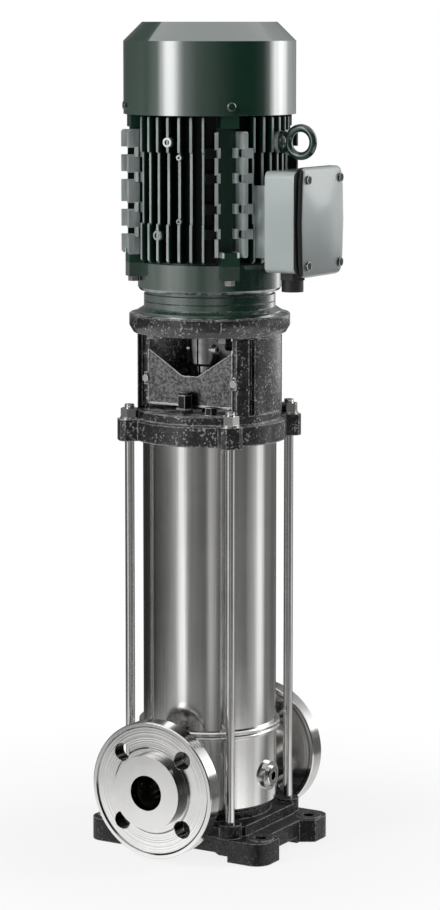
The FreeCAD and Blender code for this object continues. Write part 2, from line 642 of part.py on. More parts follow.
def make_discharge_bowl():
    """Top bowl, whose slots lead the flow to the annulus under the sleeve; holds the bush."""
    body = new_body("discharge_bowl")
    revolve(body, [
        ("bush_radius + fit", "stack_top + stage_wall"), ("stage_radius", "stack_top"),
        ("stage_radius", "cover_foot"), ("stage_bore - stage_wall", "cover_foot"),
        ("stage_bore - stage_wall", "stack_top + 2 * stage_wall"),
        ("bush_radius + 2 * stage_wall", "stack_top + 2 * stage_wall"),
        ("bush_radius + 2 * stage_wall", "cover_foot - 2 * stage_wall"),
        ("bush_radius + fit", "cover_foot - 2 * stage_wall")])
    slot = new_sketch(body, "YZ_Plane", "stage_radius + 1")
    draw_rectangle(slot, "-discharge_slot_width / 2", "discharge_slot_width / 2",
                   "stack_top + 2 * stage_wall", "cover_foot - stage_wall")
    window = extrude(body, slot, "5 * stage_wall", "Pocket")
    around(body, [window], "discharge_slots")
    ringed("bearing_bush", "shaft_radius + bush_gap", "bush_radius", "stack_top + stage_wall",
           "cover_foot - 2 * stage_wall")


# Pump shaft and shaft seal


def make_shaft():
    turned("pump_shaft", [
        ("0", "shaft_foot"), ("shaft_radius - 1", "shaft_foot"),
        ("shaft_radius", "shaft_foot + 1"), ("shaft_radius", "shaft_top - 1"),
        ("shaft_radius - 1", "shaft_top"), ("0", "shaft_top")])


def make_spacers():
    """Sleeves that keep the impellers one pitch apart, and the lock nut under the first."""
    body = new_body("impeller_spacers")
    foot = "stack_foot + impeller_lift + impeller_width + 3"
    ring = revolve(body, [
        ("shaft_radius + fit", foot), ("hub_radius", foot),
        ("hub_radius", "stack_foot + impeller_lift + stage_pitch - 2"),
        ("shaft_radius + fit", "stack_foot + impeller_lift + stage_pitch - 2")])
    stack = body.newObject("PartDesign::LinearPattern", "impeller_spacers_stack")
    stack.Originals = [ring]
    stack.Direction = (datum(body, "Z_Axis"), [""])
    bind(stack, "Length", "stage_pitch * stage_count - 2 * stage_pitch")
    bind(stack, "Occurrences", "stage_count - 1")
    body.Tip = stack
    nut = new_body("impeller_nut")
    outline = new_sketch(nut, level="stack_foot + impeller_lift - 2 - nut_height")
    draw_hexagon(outline, "0", "0", "2 * hub_radius")
    draw_circle(outline, "0", "0", "shaft_radius + fit")
    extrude(nut, outline, "nut_height")


def make_seal():
    """Mechanical seal: a stationary ring under the roof, and a sprung ring on the shaft."""
    ringed("seal_seat_ring", "shaft_radius + running_gap", "seal_ring_radius",
           "seal_seat_foot", "seal_seat_top")
    ringed("seal_face_ring", "shaft_radius + fit", "seal_ring_radius", "seal_ring_foot",
           "seal_seat_foot")
    ringed("seal_drive_collar", "shaft_radius + fit", "seal_ring_radius",
           "spring_foot - seal_collar_height", "spring_foot")
    body = new_body("seal_spring")
    wire = new_sketch(body, "XZ_Plane")
    draw_circle(wire, "seal_spring_radius", "spring_foot + seal_spring_wire", "seal_spring_wire")
    coil = revolve_sketch(body, wire)
    stack = body.newObject("PartDesign::LinearPattern", "seal_spring_stack")
    stack.Originals = [coil]
    stack.Direction = (datum(body, "Z_Axis"), [""])
    bind(stack, "Length", "seal_spring_length - 2 * seal_spring_wire")
    bind(stack, "Occurrences", "seal_spring_turns")
    body.Tip = stack


# Sleeve, head cover and tie rods


def make_sleeve():
    ringed("outer_sleeve", "sleeve_bore", "sleeve_radius", "sleeve_foot", "lantern_foot")


def make_head_cover():
    """Cover that closes the sleeve and rises through the lantern's floor round the seal."""
    groove = "oring_wire * 1.6"
    edge = "sleeve_bore - seat_gap"
    middle = "cover_foot + cover_thickness / 2"
    turned("head_cover", [
        ("chamber_bore", "cover_foot"), (edge, "cover_foot"),
        (edge, middle + " - oring_wire"), (edge + " - " + groove, middle + " - oring_wire"),
        (edge + " - " + groove, middle + " + oring_wire"), (edge, middle + " + oring_wire"),
        (edge, "lantern_foot"), ("chamber_neck_radius", "lantern_foot"),
        ("chamber_neck_radius", "chamber_neck_top - 2"),
        ("chamber_neck_radius - 2", "chamber_neck_top"),
        ("shaft_radius + running_gap", "chamber_neck_top"),
        ("shaft_radius + running_gap", "seal_seat_top"),
        ("seal_ring_radius + fit", "seal_seat_top"), ("seal_ring_radius + fit", "seal_seat_foot"),
        ("chamber_bore", "seal_seat_foot")])
    body = new_body("cover_oring")
    wire = new_sketch(body, "XZ_Plane")
    draw_circle(wire, edge + " - oring_wire * 0.8", middle, "oring_wire * 0.8")
    revolve_sketch(body, wire)


def make_rods():
    rods = new_body("tie_rods")
    section = new_sketch(rods, level="rod_foot", turn=45)
    rod = extrude(rods, draw_circle(section, "rod_circle", "0", "rod_radius"),
                  "rod_top - rod_foot")
    around(rods, [rod], "4")
    washers = new_body("rod_washers")
    ring = new_sketch(washers, level="lantern_deck", turn=45)
    draw_circle(ring, "rod_circle", "0", "washer_radius")
    draw_circle(ring, "rod_circle", "0", "rod_radius + fit")
    around(washers, [extrude(washers, ring, "washer_thickness")], "4")
    nuts = new_body("rod_nuts")
    hexagon = new_sketch(nuts, level="nut_foot", turn=45)
    draw_hexagon(hexagon, "rod_circle", "0", "nut_hexagon")
    draw_circle(hexagon, "rod_circle", "0", "rod_radius + fit")
    around(nuts, [extrude(nuts, hexagon, "nut_height")], "4")


# Lantern


def make_lantern():
    """Cast stool: a lobed flange on the sleeve, two windows, and a round flange for the motor."""
    body = new_body("lantern")
    revolve(body, [
        ("chamber_neck_radius + seat_gap", "lantern_foot"),
        ("lantern_flange_radius - 1", "lantern_foot"),
        ("lantern_flange_radius", "lantern_foot + 1"),
        ("lantern_flange_radius", "lantern_deck - 2"),
        ("lantern_flange_radius - 2", "lantern_deck"), ("lantern_radius", "lantern_deck"),
        ("lantern_radius", "window_top"),
        ("top_flange_radius - 4", "window_top + 1"),
        ("top_flange_radius", "lantern_top - top_flange_edge"),
        ("top_flange_radius", "lantern_top - 1"), ("top_flange_radius - 1", "lantern_top"),
        ("spigot_radius + seat_gap", "lantern_top"),
        ("spigot_radius + seat_gap", "window_top"), ("lantern_bore", "window_top"),
        ("lantern_bore", "window_foot"), ("chamber_neck_radius + seat_gap", "window_foot")])
    lobe_out, lobe_side = "lobe_reach", "lobe_half_width"
    lobe = new_sketch(body, level="lantern_foot", turn=45)
    draw_outline(lobe, [
        ("chamber_neck_radius + 20", "-" + lobe_side), (lobe_out + " - lobe_corner", "-" + lobe_side),
        (lobe_out, "-" + lobe_side + " + lobe_corner"), (lobe_out, lobe_side + " - lobe_corner"),
        (lobe_out + " - lobe_corner", lobe_side), ("chamber_neck_radius + 20", lobe_side)])
    around(body, [extrude(body, lobe, "lantern_flange_height")], "4")
    hole = new_sketch(body, level="lantern_deck", turn=45)
    drilled = extrude(body, draw_circle(hole, "rod_circle", "0", "rod_radius + seat_gap"),
                      "lantern_flange_height", "Pocket")
    around(body, [drilled], "4")
    window = new_sketch(body, "XZ_Plane", "top_flange_radius")
    draw_rectangle(window, "-window_half_width", "window_half_width", "window_foot", "window_top")
    opening = extrude(body, window, "top_flange_radius - ledge_distance", "Pocket")
    around(body, [opening], "2")
    flat = new_sketch(body, "YZ_Plane", "lantern_radius + 1")
    draw_rectangle(flat, "-lantern_flat_half", "lantern_flat_half", "window_foot",
                   "window_top - 2")
    facing = extrude(body, flat, "lantern_radius + 1 - lantern_flat", "Pocket")
    around(body, [facing], "2")
    for side in (-1, 1):
        groove = new_sketch(body, level="window_top - 2", turn=side * size("groove_turn"))
        draw_rectangle(groove, "lantern_radius - groove_depth", "lantern_radius + 1",
                       "-groove_width / 2", "groove_width / 2")
        around(body, [extrude(body, groove, "window_top - 2 - window_foot", "Pocket")], "2")
    boss = new_sketch(body, "YZ_Plane", "top_flange_radius - 2 * lantern_boss_proud")
    draw_circle(boss, "0", "lantern_top - top_flange_edge + 2", "boss_radius")
    around(body, [extrude(body, boss, "2 * lantern_boss_proud - 1")], "4")
    bolt = new_sketch(body, level="lantern_top", turn=45)
    clear = extrude(body, draw_circle(bolt, "motor_bolt_circle / 2", "0",
                                      "motor_bolt_radius + 2 * seat_gap"),
                    "lantern_roof", "Pocket")
    around(body, [clear], "4")
    vent = new_sketch(body, level="window_foot")
    extrude(body, draw_circle(vent, "0", "-vent_distance", "vent_boss_radius"),
            "vent_boss_height")
    thread = new_sketch(body, level="window_foot + vent_boss_height")
    extrude(body, draw_circle(thread, "0", "-vent_distance", "vent_thread_radius + bush_gap"),
            "vent_thread_length + 2", "Pocket")
    thread = new_sketch(body, level="window_foot")
    draw_circle(thread, "gauge_plug_offset", "-vent_distance + 2", "vent_thread_radius + bush_gap")
    extrude(body, thread, "vent_thread_length", "Pocket")
    for side in ("guard_screw_place", "-guard_screw_place"):
        tapped = new_sketch(body, "XZ_Plane", "ledge_distance")
        draw_circle(tapped, side, "guard_screw_height", "guard_screw_radius + fit")
        screw_hole = extrude(body, tapped, "guard_screw_length", "Pocket")
        around(body, [screw_hole], "2")


def make_vent_plug():
    """Priming plug on its boss: thread, hexagon and the bright bleed screw on top."""
    seat = "window_foot + vent_boss_height"
    body = new_body("vent_plug")
    thread = new_sketch(body, level=seat + " - vent_thread_length")
    extrude(body, draw_circle(thread, "0", "-vent_distance", "vent_thread_radius"),
            "vent_thread_length + vent_height + vent_ring_height")
    head = new_sketch(body, level=seat + " + seat_gap")
    extrude(body, draw_hexagon(head, "0", "-vent_distance", "vent_hexagon"),
            "vent_height - seat_gap")
    ring = new_sketch(body, level=seat + " + vent_height")
    extrude(body, draw_circle(ring, "0", "-vent_distance", "vent_ring_radius"),
            "vent_ring_height")
    plug = new_body("gauge_plug")
    thread = new_sketch(plug, level="window_foot - vent_thread_length + 1")
    draw_circle(thread, "gauge_plug_offset", "-vent_distance + 2", "vent_thread_radius")
    extrude(plug, thread, "vent_thread_length + gauge_plug_height - 1")
    head = new_sketch(plug, level="window_foot")
    draw_hexagon(head, "gauge_plug_offset", "-vent_distance + 2", "vent_hexagon - 2")
    extrude(plug, head, "gauge_plug_height")


# Coupling and guards


def make_coupling_half(label, side):
    """Half of the split clamp that joins the two shafts, with flats for its screws."""
    body = new_body(label)
    revolve(body, [
        ("shaft_radius + fit", "coupling_foot"), ("coupling_radius - 1", "coupling_foot"),
        ("coupling_radius", "coupling_foot + 1"), ("coupling_radius", "coupling_middle - 8"),
        ("coupling_waist", "coupling_middle - 5"), ("coupling_waist", "coupling_middle + 5"),
        ("coupling_radius", "coupling_middle + 8"), ("coupling_radius", "coupling_top - 1"),
        ("coupling_radius - 1", "coupling_top"), ("motor_shaft_radius + fit", "coupling_top"),
        ("motor_shaft_radius + fit", "motor_shaft_foot - 1"),
        ("shaft_radius + fit", "motor_shaft_foot - 1")])
    reach = "coupling_radius + 1"
    removed = new_sketch(body, level="coupling_foot")
    draw_rectangle(removed, "-" + reach.replace("+", "-"), reach,
                   "-coupling_radius - 1", "coupling_split / 2")
    extrude(body, removed, "coupling_length", "Pocket", backwards=True)
    flat = new_sketch(body, level="coupling_foot")
    draw_rectangle(flat, "-" + reach.replace("+", "-"), reach, "coupling_flat", reach)
    extrude(body, flat, "coupling_length", "Pocket", backwards=True)
    for level in ("coupling_middle - clamp_screw_spacing / 2",
                  "coupling_middle + clamp_screw_spacing / 2"):
        for across in ("clamp_screw_offset", "-clamp_screw_offset"):
            hole = new_sketch(body, "XZ_Plane", "-coupling_radius")
            draw_circle(hole, across, level, "clamp_screw_radius + fit")
            extrude(body, hole, "coupling_radius", "Pocket", backwards=True)
    body.Placement = Placement(Vector(0, 0, 0), Rotation(Vector(0, 0, 1), side))


def make_clamp_screws():
    """Four socket screws across the split, heads on one half."""
    body = new_body("coupling_screws")
    for level in ("coupling_middle - clamp_screw_spacing / 2",
                  "coupling_middle + clamp_screw_spacing / 2"):
        for across in ("clamp_screw_offset", "-clamp_screw_offset"):
            shank = new_sketch(body, "XZ_Plane", "-coupling_flat")
            draw_circle(shank, across, level, "clamp_screw_radius")
            extrude(body, shank, "2 * coupling_flat")
            head = new_sketch(body, "XZ_Plane", "coupling_flat")
            draw_circle(head, across, level, "clamp_screw_head")
            extrude(body, head, "clamp_screw_head")
            socket = new_sketch(body, "XZ_Plane", "coupling_flat + clamp_screw_head")
            draw_hexagon(socket, across, level, "clamp_screw_head")
            extrude(body, socket, "clamp_screw_head / 2", "Pocket")
    body.Placement = Placement(Vector(0, 0, 0), Rotation(Vector(0, 0, 1), 90))


def make_guard(label, degrees):
    """Sheet guard over one window, its top edge cut to a wide valley round the coupling."""
    body = new_body(label)
    sheet_plane = new_sketch(body, "XZ_Plane", "ledge_distance")
    wide, tab = "guard_half_width", "guard_tab_half"
    low, high = "guard_screw_height - guard_tab_height / 2", "guard_screw_height + guard_tab_height / 2"
    right = [("guard_valley_half", "guard_base + guard_valley"),
             (wide + " - 2", "guard_base + guard_height"), (wide, "guard_base + guard_height"),
             (wide, high), (tab, high), (tab, low), (wide, low), (wide, "guard_base")]
    corners = right + [("-" + across.replace("-", "+"), up) for across, up in reversed(right)]
    draw_outline(sheet_plane, corners)
    extrude(body, sheet_plane, "guard_thickness")
    for across in ("guard_screw_place", "-guard_screw_place"):
        hole = new_sketch(body, "XZ_Plane", "ledge_distance + guard_thickness")
        draw_circle(hole, across, "guard_screw_height", "guard_screw_radius + seat_gap")
        extrude(body, hole, "guard_thickness", "Pocket")
    lip = new_sketch(body, "XZ_Plane", "ledge_distance + guard_thickness")
    draw_rectangle(lip, "-guard_half_width + 2", "guard_half_width - 2", "guard_base",
                   "guard_base + guard_thickness")
    extrude(body, lip, "guard_lip")
    body.Placement = Placement(Vector(0, 0, 0), Rotation(Vector(0, 0, 1), degrees))


def make_guard_screws():
    body = new_body("guard_screws")
    for across in ("guard_screw_place", "-guard_screw_place"):
        shank = new_sketch(body, "XZ_Plane", "ledge_distance - guard_screw_length")
        draw_circle(shank, across, "guard_screw_height", "guard_screw_radius")
        pin = extrude(body, shank, "guard_screw_length + guard_thickness")
        cap = new_sketch(body, "XZ_Plane", "ledge_distance + guard_thickness")
        draw_circle(cap, across, "guard_screw_height", "guard_screw_head")
        head = extrude(body, cap, "guard_screw_radius")
        around(body, [pin, head], "2")


# Motor


def make_drive_shield():
    """Flange with a conical top, a neck with a fine groove, and the bearing housing."""
    body = new_body("drive_end_shield")
    housing = "bearing_radius + 5"
    revolve(body, [
        ("journal_radius + 1", "lantern_top - spigot_height"),
        ("spigot_radius", "lantern_top - spigot_height"), ("spigot_radius", "lantern_top"),
        ("motor_flange_radius", "lantern_top"),
        ("motor_flange_radius", "lantern_top + motor_flange_edge"),
        ("neck_radius", "motor_neck_foot"), ("neck_radius", "motor_neck_foot + 5"),
        ("neck_radius - 1", "motor_neck_foot + 5.6"),
        ("neck_radius", "motor_neck_foot + 6.2"), ("neck_radius", "neck_top"),
        ("neck_radius - 2", "neck_top + 1"), ("neck_radius - 2", "shield_foot"),
        ("shield_radius - 2", "shield_foot"), ("shield_radius", "shield_foot + 3"),
        ("shield_radius", "frame_foot"), ("shield_bore + 8", "frame_foot"),
        ("shield_bore + 8", "shield_foot + shield_floor"),
        (housing, "shield_foot + shield_floor"),
        (housing, "front_bearing_foot + bearing_width"),
        ("bearing_radius + fit", "front_bearing_foot + bearing_width"),
        ("bearing_radius + fit", "front_bearing_foot"),
        ("journal_radius + 1", "front_bearing_foot")])
    lug = new_sketch(body, level="frame_foot - lug_height", turn=45)
    draw_rectangle(lug, "shield_bore + 10", "lug_reach", "-lug_half_width", "lug_half_width")
    around(body, [extrude(body, lug, "lug_height")], "4")
    hole = new_sketch(body, level="frame_foot", turn=45)
    drilled = extrude(body, draw_circle(hole, "lug_circle", "0", "lug_screw_radius + fit"),
                      "lug_height", "Pocket")
    around(body, [drilled], "4")
    tapped = new_sketch(body, level="lantern_top", turn=45)
    threads = extrude(body, draw_circle(tapped, "motor_bolt_circle / 2", "0",
                                        "motor_bolt_radius + fit"),
                      "motor_bolt_grip + 2", "Pocket", backwards=True)
    around(body, [threads], "4")


def make_shield_screws():
    """Hexagon screws through the lugs of the drive-end shield into the frame."""
    body = new_body("drive_end_screws")
    shank = new_sketch(body, level="frame_foot - lug_height", turn=45)
    pin = extrude(body, draw_circle(shank, "lug_circle", "0", "lug_screw_radius"),
                  "lug_height + lug_half_width")
    cap = new_sketch(body, level="frame_foot - lug_height - lug_screw_head", turn=45)
    head = extrude(body, draw_hexagon(cap, "lug_circle", "0", "lug_screw_hexagon"),
                   "lug_screw_head")
    around(body, [pin, head], "4")


def make_motor_bolts():
    """Bolts from inside the lantern up into the motor flange."""
    body = new_body("motor_bolts")
    cap = new_sketch(body, level="window_top - motor_bolt_head", turn=45)
    head = extrude(body, draw_hexagon(cap, "motor_bolt_circle / 2", "0", "motor_bolt_hexagon"),
                   "motor_bolt_head")
    shank = new_sketch(body, level="window_top", turn=45)
    pin = extrude(body, draw_circle(shank, "motor_bolt_circle / 2", "0", "motor_bolt_radius"),
                  "lantern_roof + motor_bolt_grip")
    around(body, [head, pin], "4")


def fin_outline():
    """One cooling fin seen from its side, with a slightly lower band at half length."""
    root = "frame_radius - 1"
    return [(root, "frame_foot + 2"), ("fin_tip - fin_end", "frame_foot + 2"),
            ("fin_tip", "frame_foot + 2 + fin_end"), ("fin_tip", "frame_foot + band_start"),
            ("fin_tip - band_depth", "frame_foot + band_start + 1"),
            ("fin_tip - band_depth", "frame_foot + band_end - 1"),
            ("fin_tip", "frame_foot + band_end"), ("fin_tip", "frame_top - fin_end"),
            ("fin_tip - fin_end", "frame_top"), (root, "frame_top")]


def slot_levels():
    """Middles of the four slots in a foot rail, in two pairs about the rail's middle."""
    spots = ("- slot_far", "- slot_near", "+ slot_near", "+ slot_far")
    return ["frame_foot + rail_middle " + spot for spot in spots]


def rail_outline():
    """One foot rail seen from its side: a plate with four slots open to its outer edge."""
    low, high = "frame_foot + rail_start", "frame_foot + rail_end"
    inner = "rail_reach - slot_depth"
    corners = [("frame_radius - 1", low), ("rail_reach - rail_bevel", low),
               ("rail_reach", low + " + rail_bevel")]
    for middle in slot_levels():
        corners += [("rail_reach", middle + " - slot_half"),
                    (inner + " + slot_half / 2", middle + " - slot_half"),
                    (inner, middle + " - slot_half / 2"), (inner, middle + " + slot_half / 2"),
                    (inner + " + slot_half / 2", middle + " + slot_half"),
                    ("rail_reach", middle + " + slot_half")]
    return corners + [("rail_reach", high + " - rail_bevel"),
                      ("rail_reach - rail_bevel", high), ("frame_radius - 1", high)]


def rail_blocks(body, side, reach, depth, inward):
    """Short blocks on one flank of a rail, one at each slot."""
    blocks = new_sketch(body, "XZ_Plane", turn=45 + side * size("rail_spread"))
    for middle in slot_levels():
        draw_rectangle(blocks, "frame_radius - 1", reach, middle + " - rail_boss_half",
                       middle + " + rail_boss_half")
    return extrude(body, blocks, "rail_thickness / 2 + " + depth,
                   backwards=(side < 0) == inward)


def make_motor_frame():
    """Finned barrel with four pairs of foot rails and the seats of the box and the eye."""
    body = new_body("motor_frame")
    revolve(body, [("frame_bore", "frame_foot"), ("frame_radius", "frame_foot"),
                   ("frame_radius", "frame_top"), ("frame_bore", "frame_top")])
    spread, quarter = size("rail_spread"), 45
    for side in (-1, 1):
        rail = new_sketch(body, "XZ_Plane", turn=quarter + side * spread)
        draw_outline(rail, rail_outline())
        plate = extrude(body, rail, "rail_thickness", both=True)
        low = rail_blocks(body, side, "rail_reach - slot_depth", "rail_boss_depth", True)
        tall = rail_blocks(body, side, "rail_tab_reach", "rail_tab_depth", False)
        around(body, [plate, low, tall], "4")
    fin_turn = (quarter - spread) / size("fin_gaps")
    fins = []
    for side in (-1, 1):
        for place in range(1, int(size("fin_gaps"))):
            fin = new_sketch(body, "XZ_Plane", turn=quarter + side * (spread + place * fin_turn))
            draw_outline(fin, fin_outline())
            fins.append(extrude(body, fin, "fin_thickness", both=True))
    fin = draw_outline(new_sketch(body, "XZ_Plane"), fin_outline())
    fins.append(extrude(body, fin, "fin_thickness", both=True))
    around(body, fins, "4")
    lug = new_sketch(body, level="frame_foot", turn=45)
    draw_rectangle(lug, "frame_bore + 3", "lug_reach", "-lug_half_width", "lug_half_width")
    around(body, [extrude(body, lug, "frame_lug_height")], "4")
    lug = new_sketch(body, level="frame_top - rear_lug_height", turn=45)
    draw_rectangle(lug, "frame_bore + 3", "fin_tip + 2", "-lug_half_width", "lug_half_width")
    around(body, [extrude(body, lug, "rear_lug_height")], "4")
    hole = new_sketch(body, level="frame_foot", turn=45)
    drilled = extrude(body, draw_circle(hole, "lug_circle", "0", "lug_screw_radius + fit"),
                      "lug_half_width + 2", "Pocket", backwards=True)
    around(body, [drilled], "4")
    seat = new_sketch(body, "YZ_Plane", "frame_radius - 4")
    draw_rectangle(seat, "-pedestal_half_y", "pedestal_half_y", "frame_foot + pedestal_foot",
                   "frame_foot + pedestal_head")
    extrude(body, seat, "box_distance - frame_radius + 4")
    eye = new_sketch(body, "YZ_Plane", "frame_radius - 4")
    extrude(body, draw_circle(eye, "0", "eye_level", "eye_boss_radius"),
            "eye_boss_reach - frame_radius + 4")
    wires = new_sketch(body, "YZ_Plane", "box_distance")
    draw_circle(wires, "0", "frame_foot + pedestal_head / 2", "wire_hole_radius")
    extrude(body, wires, "box_distance - frame_bore", "Pocket")
    tapped = new_sketch(body, "YZ_Plane", "eye_boss_reach")
    extrude(body, draw_circle(tapped, "0", "eye_level", "eye_shank_radius + fit"),
            "eye_shank_length + 1", "Pocket")


def drill_across(body, level, radius, length):
    """Two level holes right through the body, on its two diagonals."""
    for turn in (45, -45):
        hole = new_sketch(body, "XZ_Plane", turn=turn)
        extrude(body, draw_circle(hole, "0", level, radius), length, "Pocket", both=True)


def make_rear_shield():
    body = new_body("rear_end_shield")
    housing = "bearing_radius + 5"
    revolve(body, [
        ("journal_radius + 0.5", "shield_top"), ("frame_radius", "shield_top"),
        ("frame_radius + 3", "shield_top - 2"), ("frame_radius + 3", "frame_top"),
        ("frame_bore - seat_gap", "frame_top"), ("frame_bore - seat_gap", "frame_top - 3"),
        (housing, "frame_top - 3"), (housing, "rear_bearing_foot"),
        ("bearing_radius + fit", "rear_bearing_foot"),
        ("bearing_radius + fit", "rear_bearing_foot + bearing_width"),
        ("journal_radius + 0.5", "rear_bearing_foot + bearing_width")])
    ear = new_sketch(body, level="frame_top", turn=45)
    draw_rectangle(ear, "frame_radius - 8", "cover_bore - cover_ear_gap", "-cover_ear_half",
                   "cover_ear_half")
    around(body, [extrude(body, ear, "cover_screw_height + cover_ear_rise")], "4")
    drill_across(body, "cover_rim + cover_screw_height", "cover_screw_radius + fit",
                 "2 * cover_radius")


def make_stator():
    ringed("stator_core", "stator_bore", "frame_bore - fit", "stator_foot", "stator_top")
    heads = new_body("winding_heads")
    for foot, top in (("stator_foot - winding_height", "stator_foot"),
                      ("stator_top", "stator_top + winding_height")):
        revolve(heads, [("winding_bore", foot + " + 3"), ("winding_bore + 3", foot),
                        ("winding_radius - 3", foot), ("winding_radius", foot + " + 3"),
                        ("winding_radius", top), ("winding_bore", top)])


def make_rotor():
    """Rotor core and the stepped motor shaft that carries the bearings, fan and coupling."""
    shaft, journal, tail = "motor_shaft_radius", "journal_radius", "fan_seat_radius"
    front, rear = "front_bearing_foot", "rear_bearing_foot"
    ringed("rotor_core", "journal_radius + 2 + fit", "rotor_radius", "stator_foot",
           "stator_top")
    turned("motor_shaft", [
        ("0", "motor_shaft_foot"), (shaft + " - 1", "motor_shaft_foot"),
        (shaft, "motor_shaft_foot + 1"), (shaft, front + " - 3"), (journal, front + " - 3"),
        (journal, front + " + bearing_width"),
        ("journal_radius + 2", front + " + bearing_width"), ("journal_radius + 2", rear),
        (journal, rear), (journal, rear + " + bearing_width"), (tail, rear + " + bearing_width"),
        (tail, "fan_foot + fan_disc + 16"), ("0", "fan_foot + fan_disc + 16")])


def make_bearing(label, foot):
    """Deep-groove ball bearing as two races and its set of balls."""
    middle = foot + " + bearing_width / 2"
    for name, near, far in (("outer_race", "race_outer", "bearing_radius"),
                            ("inner_race", "journal_radius + fit", "race_inner")):
        ring = ringed(label + "_" + name, near, far, foot, foot + " + bearing_width")
        groove = new_sketch(ring, "XZ_Plane")
        draw_circle(groove, "ball_circle", middle, "ball_radius + ball_gap + 0.4")
        revolve_sketch(ring, groove, "Groove")
    balls = new_body(label + "_balls")
    half = new_sketch(balls, "XZ_Plane")
    reach, level = number("ball_radius"), number(middle)
    centre = Vector(number("ball_circle"), level, 0)
    arc = Part.Arc(centre + Vector(0, -reach, 0), centre + Vector(reach, 0, 0),
                   centre + Vector(0, reach, 0))
    half.addGeometry(arc, False)
    half.addGeometry(Part.LineSegment(arc.EndPoint, arc.StartPoint), False)
    half.addConstraint(Sketcher.Constraint("Coincident", 0, 2, 1, 1))
    half.addConstraint(Sketcher.Constraint("Coincident", 1, 2, 0, 1))
    half.addConstraint(Sketcher.Constraint("Vertical", 1))
    half.addConstraint(Sketcher.Constraint("PointOnObject", 0, 3, 1))
    place_point(half, 0, 3, "ball_circle", middle)
    held = half.addConstraint(Sketcher.Constraint("Radius", 0, reach))
    bind(half, "Constraints[%d]" % held, "ball_radius")
    around(balls, [revolve_sketch(balls, half, axis="Edge2")], "ball_count")


def make_fan():
    body = new_body("fan")
    hub_top = "fan_foot + fan_disc + 16"
    revolve(body, [
        ("fan_seat_radius + fit", "fan_foot"), ("fan_radius", "fan_foot"),
        ("fan_radius", "fan_foot + fan_disc"), ("fan_hub_radius", "fan_foot + fan_disc"),
        ("fan_hub_radius - 2", hub_top), ("fan_seat_radius + fit", hub_top)])
    blade = new_sketch(body, "XZ_Plane")
    draw_outline(blade, [
        ("fan_blade_root", "fan_foot + fan_disc / 2"), ("fan_radius", "fan_foot + fan_disc / 2"),
        ("fan_radius", "fan_foot + fan_disc + fan_blade"),
        ("fan_blade_root + 12", "fan_foot + fan_disc + fan_blade"),
        ("fan_blade_root", "fan_foot + fan_disc + fan_blade / 3")])
    around(body, [extrude(body, blade, "fan_blade_thickness", both=True)], "fan_blades")


def make_fan_cover():
    """Thin shell with a conical shoulder and two rings of radial slots in its flat top."""
    body = new_body("fan_cover")
    inner_flat = "cover_flat - 0.6 * cover_wall"
    revolve(body, [
        ("cover_bore", "cover_rim"), ("cover_radius", "cover_rim"),
        ("cover_radius", "cover_top - cover_chamfer"), ("cover_flat", "cover_top"),
        ("0", "cover_top"), ("0", "cover_top - cover_wall"),
        (inner_flat, "cover_top - cover_wall"),
        ("cover_bore", "cover_top - cover_chamfer - 0.6 * cover_wall")])
    for near, far in (("grille_inner", "grille_band - 2"), ("grille_band + 2", "grille_outer")):
        slot = new_sketch(body, level="cover_top")
        draw_rectangle(slot, near, far, "-grille_slot / 2", "grille_slot / 2")
        cut = extrude(body, slot, "2 * cover_wall", "Pocket")
        around(body, [cut], "grille_slots / 2" if near == "grille_inner" else "grille_slots")
    drill_across(body, "cover_rim + cover_screw_height", "cover_screw_radius + seat_gap",
                 "2 * cover_radius + 2")


def make_cover_screws():
    """Small screws that hold the fan cover to the ears of the rear lugs."""
    body = new_body("fan_cover_screws")
    level = "cover_rim + cover_screw_height"
    screw = revolve_sideways(body, level, [
        ("cover_bore - 10", "0"), ("cover_radius + cover_screw_cap", "0"),
        ("cover_radius + cover_screw_cap", "cover_screw_head - 1"),
        ("cover_radius + cover_screw_cap - 1", "cover_screw_head"),
        ("cover_radius", "cover_screw_head"), ("cover_radius", "cover_screw_radius"),
        ("cover_bore - 10", "cover_screw_radius")])
    around(body, [screw], "4")
    body.Placement = Placement(Vector(0, 0, 0), Rotation(Vector(0, 0, 1), 45))


def revolve_sideways(body, level, corners):
    """Turns an outline of (reach, radius) corners about a level line along the body's X."""
    sketch = new_sketch(body, "XZ_Plane")
    lifted = [(reach, level if radius == "0" else level + " + " + radius)
              for reach, radius in corners]
    draw_outline(sketch, lifted)
    return revolve_sketch(body, sketch, axis="Edge1")


# Terminal box and lifting eye


def rounded_slab(body, plane_level, half_width, low, high, length, corner, kind="Pad"):
    """A slab facing +X with rounded corners, or a pocket of that outline."""
    sketch = new_sketch(body, "YZ_Plane", plane_level)
    draw_rectangle(sketch, "-" + half_width.replace("-", "+"), half_width, low, high)
    slab = extrude(body, sketch, length, kind)
    if kind == "Pad":
        along = edges_that(slab, lambda middle, run: abs(run.x) > 1
                           and abs(run.y) + abs(run.z) < 1e-6
                           and abs(abs(middle.y) - number(half_width)) < 1e-3)
        return round_edges(body, slab, along, corner)
    return slab


